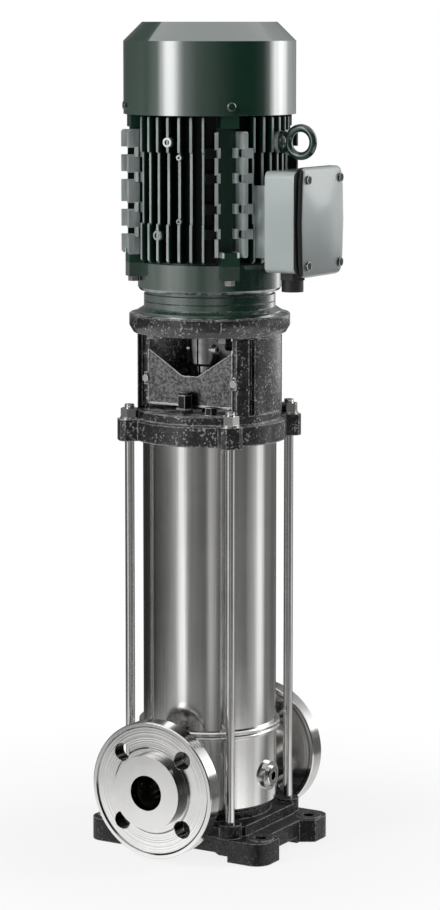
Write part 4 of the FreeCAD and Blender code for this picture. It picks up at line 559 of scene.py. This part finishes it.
def make_finishes():
    """Every finish by its name, so that each piece of one kind has the same look."""
    c = colours()
    steel = tuple(c.steel)
    plating = tuple(c.plating)
    return {
        "green_enamel": enamel("green_enamel", tuple(c.paint)),
        "pale_enamel": enamel("pale_enamel", shade(c.pale_paint_and_highlight, 1.7), gloss=0.3, coat=1.25),
        # A darker copy of the green paint for the lifting eye and the fan cover screws: painted shade.
        "dark_enamel": enamel("dark_enamel", shade(c.paint, 0.7), gloss=0.2, coat=1.6),
        "fin_enamel": fin_enamel("fin_enamel"),
        # The paler tips of the fin rings are painted highlight.
        "fin_rings": enamel("fin_rings", shade(c.paint, 0.8), tuple(c.pale_paint_and_highlight), 0.22, (0.0806, 0.0822)),
        "lid_enamel": lid_enamel("lid_enamel"),
        "black_iron": casting("black_iron", tuple(c.casting)),
        "black_base": casting("black_base", tuple(c.casting), 0.32, (0.78, 0.86, 1.0), 0.0),
        "mirror_steel": metal("mirror_steel", steel, 0.06, (0.4, 0.4, 0.02), 0.25, 0.94, ripple=0.00035),
        "pressed_steel": metal("pressed_steel", steel, 0.11, (0.3, 0.3, 1.0), 0.3, ripple=0.0003),
        "port_steel": metal("port_steel", steel, 0.09, (0.3, 0.3, 1.0), 0.3, ripple=0.0003, collar_shade=True),
        "turned_steel": turned_metal("turned_steel", steel),
        # The guards' strong fine mottling in the colour is painted reflection.
        "mottled_steel": metal(
            "mottled_steel", (0.22, 0.22, 0.225), 0.3, (0.3, 0.3, 0.3), 0.8, 0.25, edge_wear_and_highlight=1.0, clouding=420.0),
        "coupling_steel": metal(
            "coupling_steel", (0.42, 0.42, 0.42), 0.12, (0.5, 0.5, 0.5), 0.5, 0.5, edge_wear_and_highlight=0.6, clouding=60.0),
        "drawn_steel": metal("drawn_steel", steel, 0.10, (1.0, 1.0, 0.03), 0.3, edge_wear_and_highlight=0.5),
        "zinc_plate": metal("zinc_plate", plating, 0.28, (0.5, 0.5, 0.5), 0.6, 0.7, edge_wear_and_highlight=0.6),
        "blackened": metal("blackened", (0.035, 0.04, 0.038), 0.35, (0.5, 0.5, 0.5), 0.5, 0.6, edge_wear_and_highlight=0.8),
        "ground_steel": metal("ground_steel", (0.60, 0.60, 0.60), 0.08, (1.0, 1.0, 1.0), 0.1),
        "bronze": metal("bronze", (0.55, 0.36, 0.17), 0.22, (1.0, 1.0, 0.2), 0.4, 0.7),
        "laminations": laminated("laminations", (0.30, 0.30, 0.31), 0.0005),
        "windings": laminated("windings", (0.62, 0.27, 0.13), 0.0009),
        "rubber": moulded("rubber", (0.012, 0.012, 0.012), 0.6, 500.0),
        "carbon": moulded("carbon", (0.02, 0.02, 0.022), 0.28, 1200.0),
        "black_plastic": moulded("black_plastic", (0.015, 0.015, 0.016), 0.4, 800.0),
    }


FINISHES = {}


# Meshes


def node_body(node):
    return frame["nodes"][node].parent.name.split(":", 1)[1]


def merged(node, flatten=0.6):
    """The frame's piece as one joined mesh, with flat faces made whole."""
    source = frame["nodes"][node]
    work = bmesh.new()
    work.from_mesh(source.data)
    work.transform(source.matrix_world)
    bmesh.ops.remove_doubles(work, verts=work.verts, dist=0.000004)
    if flatten:
        bmesh.ops.dissolve_limit(work, angle_limit=math.radians(flatten), verts=work.verts, edges=work.edges)
    return work


def plain_mesh(name, work):
    """A mesh without any stored normals, from a worked one."""
    work.verts.index_update()
    points = [tuple(v.co) for v in work.verts]
    faces = [[v.index for v in f.verts] for f in work.faces]
    work.free()
    mesh = bpy.data.meshes.new(name)
    mesh.from_pydata(points, [], faces)
    mesh.validate()
    return mesh


def settle(name, mesh, finish, body, replaced=(), angle=32.0):
    """Puts a finished mesh in the scene as one piece of the object."""
    mesh.polygons.foreach_set("use_smooth", [True] * len(mesh.polygons))
    mesh.set_sharp_from_angle(angle=math.radians(angle))
    mesh.materials.clear()
    mesh.materials.append(FINISHES[finish])
    piece = bpy.data.objects.new(name, mesh)
    bpy.context.scene.collection.objects.link(piece)
    if replaced:
        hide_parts(*replaced)
    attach(piece, body)
    return piece


def dress(node, finish, angle=32.0, flatten=0.6):
    """A smooth copy of a frame piece that stands for it."""
    mesh = plain_mesh(node + "_dressed", merged(node, flatten))
    return settle(node + "_dressed", mesh, finish, node_body(node), (node,), angle)


def islands(node):
    """Centre and half size of each separate solid of a frame piece."""
    work = merged(node, 0.0)
    found = []
    unseen = set(work.verts)
    while unseen:
        front = [unseen.pop()]
        group = list(front)
        while front:
            reached = [e.other_vert(v) for v in front for e in v.link_edges]
            front = list({v for v in reached if v in unseen})
            unseen.difference_update(front)
            group += front
        low = Vector(min(v.co[k] for v in group) for k in range(3))
        high = Vector(max(v.co[k] for v in group) for k in range(3))
        found.append(((low + high) / 2, (high - low) / 2))
    work.free()
    return sorted(found, key=lambda pair: tuple(round(c, 4) for c in pair[0]))


def skinned(rings):
    """A closed mesh stretched over rings of points, each with as many points as the others."""
    work = bmesh.new()
    rows = [[work.verts.new(point) for point in ring] for ring in rings]
    count = len(rows[0])
    for first, second in zip(rows, rows[1:]):
        for k in range(count):
            work.faces.new((first[k], first[(k + 1) % count], second[(k + 1) % count], second[k]))
    work.faces.new(rows[0])
    work.faces.new(rows[-1])
    bmesh.ops.recalc_face_normals(work, faces=work.faces)
    return work


# Repeated pieces, grown by Geometry Nodes


class Grower(Graph):
    """A Geometry Nodes tree that puts copies of one shape on points."""

    def __init__(self, name, inputs):
        tree = bpy.data.node_groups.new(name, "GeometryNodeTree")
        super().__init__(tree)
        tree.interface.new_socket("Geometry", in_out="OUTPUT", socket_type="NodeSocketGeometry")
        tree.interface.new_socket("Geometry", in_out="INPUT", socket_type="NodeSocketGeometry")
        for label, kind in inputs:
            tree.interface.new_socket(label, in_out="INPUT", socket_type="NodeSocket" + kind)
        tree.interface.new_socket("Finish", in_out="INPUT", socket_type="NodeSocketMaterial")
        self.given = self.node("NodeGroupInput").outputs

    def input(self, label):
        return Value(self, self.given[label])

    def moved(self, geometry, up):
        offset = self.node("ShaderNodeCombineXYZ", None, {2: up}).outputs[0]
        shift = self.node("GeometryNodeTransform", None, {"Geometry": geometry, "Translation": offset})
        return shift.outputs[0]

    def upright(self, sides, radius, height, base, shoulder=0.0):
        """A prism on height base whose top edge is rounded off by shoulder."""
        drum = self.node("GeometryNodeMeshCylinder", None, {
            "Vertices": sides, "Side Segments": 12, "Radius": radius, "Depth": height}).outputs[0]
        raised = self.moved(drum, height * 0.5)
        if shoulder:
            place = self.node("GeometryNodeInputPosition").outputs[0]
            level = self.value("ShaderNodeSeparateXYZ", None, {0: place}, output=2) / height
            drawn_in = 1.0 - shoulder * (level.rise(0.62, 1.0) ** 1.6)
            scale = self.node("ShaderNodeCombineXYZ", None, {0: drawn_in, 1: drawn_in, 2: 1.0}).outputs[0]
            shaped = self.node("ShaderNodeVectorMath", {"operation": "MULTIPLY"}, {0: place, 1: scale})
            raised = self.node("GeometryNodeSetPosition", None, {
                "Geometry": raised, "Position": shaped.outputs[0]}).outputs[0]
        return self.moved(raised, base)

    def finish(self, shape):
        """Copies of the shape on the points, aimed by their attributes."""
        aim, side = (
            self.node("GeometryNodeInputNamedAttribute", {"data_type": "FLOAT_VECTOR"}, {"Name": label}).outputs[0]
            for label in ("aim", "side"))
        first = self.node("FunctionNodeAlignRotationToVector", {"axis": "Z"}, {"Vector": aim}).outputs[0]
        turn = self.node("FunctionNodeAlignRotationToVector", {"axis": "X", "pivot_axis": "Z"},
                         {"Rotation": first, "Vector": side}).outputs[0]
        copies = self.node("GeometryNodeInstanceOnPoints", None, {
            "Points": self.given["Geometry"], "Instance": shape, "Rotation": turn}).outputs[0]
        real = self.node("GeometryNodeRealizeInstances", None, {"Geometry": copies}).outputs[0]
        done = self.node("GeometryNodeSetMaterial", None, {"Geometry": real, "Material": self.given["Finish"]})
        self.node("NodeGroupOutput", None, {"Geometry": done.outputs[0]})
        return self.tree


def head_tree():
    """A ring with a recess in its top, on a thin washer and a short shank."""
    grower = Grower("fastener_heads", [
        ("Head Sides", "Int"), ("Head Radius", "Float"), ("Head Height", "Float"),
        ("Recess Sides", "Int"), ("Recess Radius", "Float"), ("Recess Depth", "Float"),
        ("Washer Radius", "Float"), ("Washer Height", "Float"),
        ("Shank Radius", "Float"), ("Shank Length", "Float")])
    value = grower.input
    washer = grower.upright(40, value("Washer Radius"), value("Washer Height"), 0.0, 0.04)
    head = grower.upright(
        value("Head Sides"), value("Head Radius"), value("Head Height"), value("Washer Height"), 0.13)
    top = value("Washer Height") + value("Head Height") - value("Recess Depth")
    recess = grower.upright(value("Recess Sides"), value("Recess Radius"), value("Recess Depth") * 2.0, top)
    cut = grower.node("GeometryNodeMeshBoolean", {"operation": "DIFFERENCE"}, {
        "Mesh 1": head, "Mesh 2": recess}).outputs[0]
    shank = grower.upright(24, value("Shank Radius"), value("Shank Length"), value("Shank Length") * -1.0)
    return grower.finish(grower.node("GeometryNodeJoinGeometry", None, {0: [shank, cut, washer]}).outputs[0])


def ball_tree():
    """Bearing balls."""
    grower = Grower("bearing_balls", [("Ball Radius", "Float"), ("Detail", "Int")])
    ball = grower.node("GeometryNodeMeshIcoSphere", None, {
        "Radius": grower.input("Ball Radius"), "Subdivisions": grower.input("Detail")}).outputs[0]
    return grower.finish(ball)


def thread_tree():
    """The ridge of a screw thread, wound round an upright rod."""
    grower = Grower("rod_threads", [(label, "Float") for label in ("Radius", "Length", "Turns", "Ridge")])
    value = grower.input
    winding = grower.node("GeometryNodeCurveSpiral", None, {
        "Resolution": 18, "Rotations": value("Turns"), "Start Radius": value("Radius"),
        "End Radius": value("Radius"), "Height": value("Length")}).outputs[0]
    ridge = grower.node("GeometryNodeCurvePrimitiveCircle", {"mode": "RADIUS"}, {
        "Resolution": 4, "Radius": value("Ridge")}).outputs[0]
    wound = grower.node("GeometryNodeCurveToMesh", None, {
        "Curve": winding, "Profile Curve": ridge, "Fill Caps": True}).outputs[0]
    return grower.finish(wound)


TREES = {}


def grow(name, tree, points, values, finish, body="pump", replaced=(), angle=32.0):
    """Grows one piece from points, each a place, an aim and a sideways direction."""
    if tree not in TREES:
        TREES[tree] = {"head": head_tree, "ball": ball_tree, "thread": thread_tree}[tree]()
    mesh = bpy.data.meshes.new(name + "_points")
    mesh.from_pydata([tuple(p) for p, _, _ in points], [], [])
    for label, column in (("aim", 1), ("side", 2)):
        attribute = mesh.attributes.new(label, "FLOAT_VECTOR", "POINT")
        for k, point in enumerate(points):
            attribute.data[k].vector = point[column]
    seed = bpy.data.objects.new(name + "_points", mesh)
    bpy.context.scene.collection.objects.link(seed)
    modifier = seed.modifiers.new("grow", "NODES")
    modifier.node_group = TREES[tree]
    values = dict(values, Finish=FINISHES[finish])
    for item in TREES[tree].interface.items_tree:
        if item.in_out == "INPUT" and item.name in values:
            modifier[item.identifier] = values[item.name]
    evaluated = seed.evaluated_get(bpy.context.evaluated_depsgraph_get())
    grown = bpy.data.meshes.new_from_object(evaluated)
    bpy.data.objects.remove(seed)
    grown.name = name
    for label in ("aim", "side"):
        if label in grown.attributes:
            grown.attributes.remove(grown.attributes[label])
    if len(grown.polygons) == 0:
        raise RuntimeError("Nothing grew for " + name)
    return settle(name, grown, finish, body, replaced, angle)


UP = Vector((0.0, 0.0, 1.0))


def outward(point):
    return Vector((point[0], point[1], 0.0)).normalized()


def round_the_axis(degrees, radius, height):
    """A place at so many degrees from the inlet side towards the terminal box."""
    angle = math.radians(degrees)
    return Vector((radius * math.sin(angle), -radius * math.cos(angle), height))


def ring_head(sides, radius, height, recess_sides, recess, depth):
    """Sizes of a ring cast on a fin, given in millimetres."""
    return {
        "Head Sides": sides, "Head Radius": radius * MM, "Head Height": height * MM,
        "Recess Sides": recess_sides, "Recess Radius": recess * MM, "Recess Depth": depth * MM,
        "Washer Radius": radius * 0.9 * MM, "Washer Height": 0.05 * MM,
        "Shank Radius": radius * 0.3 * MM, "Shank Length": 0.3 * MM}


# Pieces


class PUMP_OT_steel_column(bpy.types.Operator):
    """Sleeve, casing, flanges and cover of stainless steel"""

    bl_idname = "pump.steel_column"
    bl_label = "Steel column"

    def execute(self, context):
        dress("outer_sleeve", "mirror_steel", flatten=0.0)
        dress("port_casing", "port_steel")
        dress("head_cover", "pressed_steel")
        dress("inlet_flange", "turned_steel")
        dress("outlet_flange", "turned_steel")
        dress("drain_plug", "turned_steel")
        return {"FINISHED"}


class PUMP_OT_black_castings(bpy.types.Operator):
    """Base plate and motor lantern of cast iron"""

    bl_idname = "pump.black_castings"
    bl_label = "Black castings"

    def execute(self, context):
        dress("base_plate", "black_base", 40.0)
        dress("lantern", "black_iron", 40.0)
        return {"FINISHED"}


class PUMP_OT_tie_rods(bpy.types.Operator):
    """Tie rods with their threads, nuts and washers"""

    bl_idname = "pump.tie_rods"
    bl_label = "Tie rods"

    def execute(self, context):
        rods = islands("tie_rods")
        radius = rods[0][1].x
        top = rods[0][0].z + rods[0][1].z
        pitch = sizes().thread_pitch
        nuts = islands("rod_nuts")
        start = nuts[0][0].z + nuts[0][1].z
        dress("tie_rods", "drawn_steel", flatten=0.0)
        dress("rod_washers", "drawn_steel")
        length = top - start - 0.0018
        spots = [(Vector((c.x, c.y, start + 0.0008)), UP, outward(c)) for c, _ in rods]
        grow("rod_threads", "thread", spots, {
            "Radius": radius - 0.0001, "Length": length, "Turns": length / pitch, "Ridge": pitch * 0.42},
            "drawn_steel", angle=50.0)
        dress("rod_nuts", "drawn_steel")
        return {"FINISHED"}


class PUMP_OT_motor(bpy.types.Operator):
    """Finned housing, end shields, fan cover and lifting eye"""

    bl_idname = "pump.motor"
    bl_label = "Motor housing"

    def execute(self, context):
        dress("motor_frame", "fin_enamel")
        dress("drive_end_shield", "green_enamel")
        dress("rear_end_shield", "green_enamel")
        dress("fan_cover", "green_enamel")
        dress("lifting_eye", "dark_enamel", 40.0, 0.0)
        dress("fan", "black_plastic")
        return {"FINISHED"}


class PUMP_OT_fin_bosses(bpy.types.Operator):
    """Rings cast on the cooling fins"""

    bl_idname = "pump.fin_bosses"
    bl_label = "Fin bosses"

    def execute(self, context):
        large = sizes().boss_radius / MM
        for name, radius, spots, shape in (
                ("fin_rings_large", 0.0765, ((0.0, 0.726), (-8.8, 0.633)),
                 ring_head(28, large, 6.2, 20, large * 0.5, 5.0)),
                ("fin_rings_small", 0.0762, ((8.8, 0.711), (8.8, 0.6475)),
                 ring_head(24, 3.2, 5.6, 16, 1.3, 4.0))):
            places = [(turn + side, level) for side in (0.0, 180.0) for turn, level in spots]
            rings = [(round_the_axis(turn, radius, level), outward(round_the_axis(turn, 1.0, 0.0)), UP)
                     for turn, level in places]
            grow(name, "head", rings, shape, "fin_rings")
        return {"FINISHED"}


class PUMP_OT_terminal_box(bpy.types.Operator):
    """Terminal box, its gasket and its barrel-shaped lid"""

    bl_idname = "pump.terminal_box"
    bl_label = "Terminal box"

    def execute(self, context):
        dress("terminal_box", "pale_enamel")
        dress("box_gasket", "rubber")
        dress("cable_gland", "black_plastic")
        dress("blanking_plug", "black_plastic")
        low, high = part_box("box_lid")
        middle = Vector(((low[k] + high[k]) / 2 for k in range(3)))
        half_y = (high[1] - low[1]) / 2
        half_z = (high[2] - low[2]) / 2
        crown = sizes().lid_crown

        def ring(x, inset, bend):
            points = []
            for k in range(96):
                turn = FULL_TURN * k / 96
                square = 0.16 + 0.84 * min(1.0, inset / half_y) ** 1.5
                across = math.copysign(abs(math.cos(turn)) ** square, math.cos(turn))
                along = math.copysign(abs(math.sin(turn)) ** square, math.sin(turn))
                z = along * (half_z - inset)
                barrel = half_y - inset - sizes().lid_barrel * (z / half_z) ** 2
                y = across * barrel
                dome = crown * bend * (1.0 - (y / half_y) ** 2 * 0.5 - (z / half_z) ** 2 * 0.5)
                points.append((x + dome, middle.y + y, middle.z + z))
            return points

        face = high[0] - crown
        plate = face - sizes().lid_plate
        groove, rounding, steps, first_bend = 0.0040, 0.0034, 6, 0.15
        rings = [ring(x, inset, 0.0) for x, inset in (
            (low[0], 0.0030), (low[0], 0.0), (low[0] + 0.0015, 0.0), (low[0] + 0.0022, groove),
            (plate - 0.0010, groove), (plate, 0.0008), (plate + 0.0008, 0.0), (face - rounding, 0.0))]
        for step in range(1, steps + 1):
            angle = math.pi / 2 * step / steps
            rings.append(ring(face - rounding + rounding * math.sin(angle),
                              rounding * (1.0 - math.cos(angle)), first_bend * step / steps))
        for share in (0.16, 0.30, 0.45, 0.62, 0.80, 0.93):
            rings.append(ring(face, half_y * share, first_bend + 0.85 * min(1.0, share * 1.4)))
        mesh = plain_mesh("box_lid_barrel", skinned(rings))
        settle("box_lid_barrel", mesh, "lid_enamel", "pump", ("box_lid",), 45.0)
        return {"FINISHED"}


class PUMP_OT_guards(bpy.types.Operator):
    """Coupling guards of sheet steel"""

    bl_idname = "pump.guards"
    bl_label = "Coupling guards"

    def execute(self, context):
        dress("front_guard", "mottled_steel")
        dress("rear_guard", "mottled_steel")
        return {"FINISHED"}


class PUMP_OT_screws(bpy.types.Operator):
    """Screws of the lid, the guards, the fan cover and the end shields"""

    bl_idname = "pump.screws"
    bl_label = "Screws"

    def execute(self, context):
        for node, finish in (
                ("lid_screws", "blackened"), ("guard_screws", "zinc_plate"),
                ("fan_cover_screws", "dark_enamel"), ("drive_end_screws", "zinc_plate"),
                ("motor_bolts", "zinc_plate"), ("coupling_screws", "zinc_plate")):
            dress(node, finish)
        return {"FINISHED"}


class PUMP_OT_plugs(bpy.types.Operator):
    """Vent plug and gauge plug"""

    bl_idname = "pump.plugs"
    bl_label = "Plugs"

    def execute(self, context):
        dress("vent_plug", "blackened")
        dress("gauge_plug", "blackened")
        return {"FINISHED"}


class PUMP_OT_drive(bpy.types.Operator):
    """Shafts, coupling and the shaft seal"""

    bl_idname = "pump.drive"
    bl_label = "Drive"

    def execute(self, context):
        for node in ("pump_shaft", "motor_shaft", "impeller_spacers", "impeller_nut", "seal_drive_collar",
                     "seal_spring"):
            dress(node, "ground_steel", flatten=0.0)
        dress("coupling_half_left", "coupling_steel")
        dress("coupling_half_right", "coupling_steel")
        for node in ("seal_face_ring", "seal_seat_ring"):
            dress(node, "carbon")
        return {"FINISHED"}


class PUMP_OT_stages(bpy.types.Operator):
    """Stage bowls, impellers and the parts round them"""

    bl_idname = "pump.stages"
    bl_label = "Stages"

    def execute(self, context):
        for node in ("stage_bowls", "impellers", "discharge_bowl", "suction_plate", "intake_chamber"):
            dress(node, "pressed_steel")
        dress("bearing_bush", "bronze")
        dress("cover_oring", "rubber", flatten=0.0)
        return {"FINISHED"}


class PUMP_OT_motor_inside(bpy.types.Operator):
    """Rotor, stator, windings and bearings"""

    bl_idname = "pump.motor_inside"
    bl_label = "Motor inside"

    def execute(self, context):
        dress("stator_core", "laminations")
        dress("rotor_core", "laminations")
        dress("winding_heads", "windings")
        dress("terminal_block", "black_plastic")
        dress("terminal_studs", "zinc_plate")
        for end in ("front", "rear"):
            dress(end + "_bearing_outer_race", "ground_steel", flatten=0.0)
            dress(end + "_bearing_inner_race", "ground_steel", flatten=0.0)
            balls = islands(end + "_bearing_balls")
            spots = [(centre, UP, outward(centre)) for centre, _ in balls]
            shape = {"Ball Radius": balls[0][1].z, "Detail": sizes().ball_rings}
            grow(end + "_balls_ground", "ball", spots, shape, "ground_steel", end + "_balls",
                 replaced=(end + "_bearing_balls",), angle=60.0)
        return {"FINISHED"}


# Studio

BRIGHTEST_CARD = 4.2
# Degrees from the inlet side towards the terminal box, and the brightness of the card there,
# for what the casing, the sleeve, the lantern and the motor reflect.
TENT_BELTS = (
    ((-180, 0.60), (-120, 0.35), (-90, 0.60), (-60, 0.85), (-31, 0.95), (-10, 0.60), (12, 0.42),
     (23, 0.35), (36, 0.14), (47, 0.08), (56, 0.50), (64, 0.80), (72, 0.44), (80, 1.15), (90, 1.25),
     (99, 0.90), (109, 0.62), (120, 0.74), (132, 0.27), (146, 0.22), (165, 0.80), (180, 0.60)),
    ((-180, 0.10), (-117, 0.03), (-94, 0.03), (-78, 0.045), (-64, 0.09), (-50, 0.12), (-37, 0.22),
     (-28, 0.50), (-22, 1.15), (-14, 1.15), (-7, 0.32), (1, 0.19), (10, 0.14), (25, 0.13), (31, 0.55),
     (37, 0.48), (43, 0.20), (50, 0.10), (75, 0.17), (95, 0.14), (105, 0.30), (116, 0.54), (123, 1.0),
     (133, 1.0), (141, 0.28), (158, 0.18), (180, 0.12)),
    ((-180, 0.9), (-165, 0.3), (-119, 0.20), (-90, 0.28), (-60, 0.42), (-30, 0.70), (-10, 0.45), (0, 0.28),
     (18, 0.16), (40, 0.30), (56, 0.10), (72, 0.01), (125, 0.01), (142, 0.20), (158, 0.60), (172, 2.0),
     (180, 0.9)),
    ((-180, 0.5), (-160, 0.2), (-117, 0.10), (-80, 0.16), (-60, 0.18), (-42, 0.40), (-34, 1.6), (-28, 4.1),
     (-18, 4.2), (-11, 1.4), (-3, 0.45), (8, 0.24), (24, 0.13), (44, 0.05), (66, 0.0), (92, 0.0),
     (106, 0.06), (116, 0.45), (126, 3.0), (138, 4.2), (149, 2.4), (158, 0.9), (180, 0.5)),
)


# Heights on the tent between which each belt gives way to the next.
TENT_STEPS = ((-0.78, -0.72), (-0.02, 0.06), (0.46, 0.60))
TENT_RADIUS = 3.6
TENT_HEIGHT = 7.0
FLOOR_RADIUS = 9.0
FILM_HEIGHT = 36.0
LENS_SHIFT = (0.0113, -0.1154)


def area_lamp(name, place, aim, width, height, power):
    lamp = bpy.data.lights.new(name, "AREA")
    lamp.shape = "RECTANGLE"
    lamp.size = width
    lamp.size_y = height
    lamp.energy = power
    holder = bpy.data.objects.new(name, lamp)
    bpy.context.scene.collection.objects.link(holder)
    holder.location = place
    holder.rotation_euler = (Vector(aim) - Vector(place)).to_track_quat("-Z", "Y").to_euler()
    holder.visible_camera = False
    holder.visible_glossy = False
    return holder


def stage_object(name, work, material):
    mesh = plain_mesh(name, work)
    mesh.materials.append(material)
    made = bpy.data.objects.new(name, mesh)
    bpy.context.scene.collection.objects.link(made)
    return made


class PUMP_OT_studio(bpy.types.Operator):
    """Floor, reflecting tent, lamps and camera"""

    bl_idname = "pump.studio"
    bl_label = "Studio"

    def execute(self, context):
        self.make_world()
        self.make_floor()
        self.make_tent()
        self.make_lamps()
        self.make_camera()
        bpy.context.scene.view_settings.view_transform = "Standard"
        return {"FINISHED"}

    def make_world(self):
        world = bpy.data.worlds.new("studio_air")
        world.use_nodes = True
        bpy.context.scene.world = world
        graph = Graph(world.node_tree)
        rays = graph.node("ShaderNodeLightPath")
        seen = Value(graph, rays.outputs["Is Camera Ray"]).larger(Value(graph, rays.outputs["Is Glossy Ray"]))
        seen = seen.larger(Value(graph, rays.outputs["Is Transmission Ray"]))
        tone = graph.node("ShaderNodeMix", {"data_type": "RGBA"}, {
            0: seen, 6: (0.17, 0.175, 0.18, 1.0), 7: (1.0, 1.0, 1.0, 1.0)}).outputs[2]
        air = graph.node("ShaderNodeBackground", None, {"Color": tone, "Strength": 1.0})
        graph.node("ShaderNodeOutputWorld", None, {"Surface": air.outputs[0]})

    def make_floor(self):
        finish = Finish("floor_paper")
        rays = finish.node("ShaderNodeLightPath")
        seen = Value(finish, rays.outputs["Is Camera Ray"])
        far = finish.radius().rise(0.12, 0.55)
        paper = finish.node("ShaderNodeBsdfPrincipled", None, {
            "Base Color": finish.blended(
                finish.grain(300.0), shade(colours().floor, 0.98), tuple(colours().floor)),
            "Roughness": 0.9})
        white = finish.node("ShaderNodeEmission", None, {"Color": (1.0, 1.0, 1.0, 1.0), "Strength": 1.0})
        mixed = finish.node("ShaderNodeMixShader", None, {
            0: seen * (0.84 + far * 0.16), 1: paper.outputs[0], 2: white.outputs[0]})
        finish.node("ShaderNodeOutputMaterial", None, {"Surface": mixed.outputs[0]})
        work = bmesh.new()
        bmesh.ops.create_circle(work, cap_ends=True, segments=96, radius=FLOOR_RADIUS)
        bmesh.ops.translate(work, verts=work.verts, vec=(0.0, 0.0, -0.0002))
        floor = stage_object("floor", work, finish.material)
        floor.visible_glossy = False

    def make_tent(self):
        """A ring of bright and dark cards that only reflections see."""
        finish = Finish("tent_cloth")
        turn = finish.value("ShaderNodeMath", {"operation": "ARCTAN2"}, {
            0: finish.along("X"), 1: finish.along("Y") * -1.0})
        share = turn / FULL_TURN + 0.5
        belts = []
        for belt in TENT_BELTS:
            stops = [((degrees + 180.0) / 360.0, level / BRIGHTEST_CARD) for degrees, level in belt]
            belts.append(Value(finish, finish.node("ShaderNodeValToRGB", {"stops": stops}, {0: share}).outputs[0]))
        height = finish.along("Z")
        cards = belts[0] * (1.55 - height.rise(-1.0, -0.76) * 1.05)
        for belt, (low, high) in zip(belts[1:], TENT_STEPS):
            share = height.rise(low, high)
            cards = cards * (1.0 - share) + belt * share
        clutter = finish.grain(1.1, 4.0, (1.0, 1.0, 0.5)).rise(0.2, 0.8) * 0.5 + 0.75
        glow = finish.node("ShaderNodeEmission", None, {"Strength": cards * clutter * BRIGHTEST_CARD})
        finish.node("ShaderNodeOutputMaterial", None, {"Surface": glow.outputs[0]})
        work = bmesh.new()
        bmesh.ops.create_cone(work, cap_ends=False, segments=128, radius1=TENT_RADIUS, radius2=TENT_RADIUS,
                              depth=TENT_HEIGHT)
        bmesh.ops.translate(work, verts=work.verts, vec=(0.0, 0.0, 0.9))
        tent = stage_object("tent", work, finish.material)
        tent.visible_camera = False
        tent.visible_diffuse = False
        tent.visible_shadow = False
        tent.visible_transmission = False

    def make_lamps(self):
        aim = (0.0, 0.0, 0.45)
        area_lamp("key_lamp", (-1.1, -2.4, 1.9), aim, 0.9, 1.8, studio().key_power)
        area_lamp("side_lamp", (2.2, 1.5, 1.4), aim, 0.9, 1.8, studio().side_power)
        area_lamp("front_lamp", (1.6, -2.4, 0.9), aim, 1.2, 1.2, 4.0)
        area_lamp("top_lamp", (0.0, 0.0, 3.0), aim, 1.6, 1.6, 10.0)

    def make_camera(self):
        s = studio()
        lens = bpy.data.cameras.new("camera")
        lens.sensor_fit = "VERTICAL"
        lens.sensor_height = FILM_HEIGHT
        lens.lens = s.lens
        lens.shift_x, lens.shift_y = LENS_SHIFT
        lens.clip_end = 100.0
        camera = bpy.data.objects.new("camera", lens)
        bpy.context.scene.collection.objects.link(camera)
        level = round_the_axis(math.degrees(s.camera_turn), 1.0, 0.0)
        camera.location = level * s.camera_distance + UP * s.camera_height
        look = level * -math.cos(s.camera_tilt) - UP * math.sin(s.camera_tilt)
        camera.rotation_euler = look.to_track_quat("-Z", "Y").to_euler()
        bpy.context.scene.camera = camera


class PUMP_PT_parts(bpy.types.Panel):
    """Lists the pieces and their sizes"""

    bl_label = "Pump"
    bl_idname = "PUMP_PT_parts"
    bl_space_type = "VIEW_3D"
    bl_region_type = "UI"
    bl_category = "Pump"

    def draw(self, context):
        for group in (sizes(), colours(), studio()):
            for name in group.__annotations__:
                self.layout.prop(group, name)
        for piece in PIECES:
            self.layout.operator(piece.bl_idname)


PIECES = (
    PUMP_OT_studio,
    PUMP_OT_steel_column,
    PUMP_OT_black_castings,
    PUMP_OT_tie_rods,
    PUMP_OT_motor,
    PUMP_OT_fin_bosses,
    PUMP_OT_terminal_box,
    PUMP_OT_guards,
    PUMP_OT_screws,
    PUMP_OT_plugs,
    PUMP_OT_drive,
    PUMP_OT_stages,
    PUMP_OT_motor_inside,
)
CLASSES = (PumpSizes, PumpColours, PumpStudio, *PIECES, PUMP_PT_parts)


def register():
    for made in CLASSES:
        bpy.utils.register_class(made)
    bpy.types.Scene.pump_sizes = PointerProperty(type=PumpSizes)
    bpy.types.Scene.pump_colours = PointerProperty(type=PumpColours)
    bpy.types.Scene.pump_studio = PointerProperty(type=PumpStudio)


def unregister():
    del bpy.types.Scene.pump_studio
    del bpy.types.Scene.pump_colours
    del bpy.types.Scene.pump_sizes
    for made in reversed(CLASSES):
        bpy.utils.unregister_class(made)


def main():
    register()
    FINISHES.update(make_finishes())
    for piece in PIECES:
        family, name = piece.bl_idname.split(".")
        getattr(getattr(bpy.ops, family), name)()


if __name__ == "__main__":
    main()
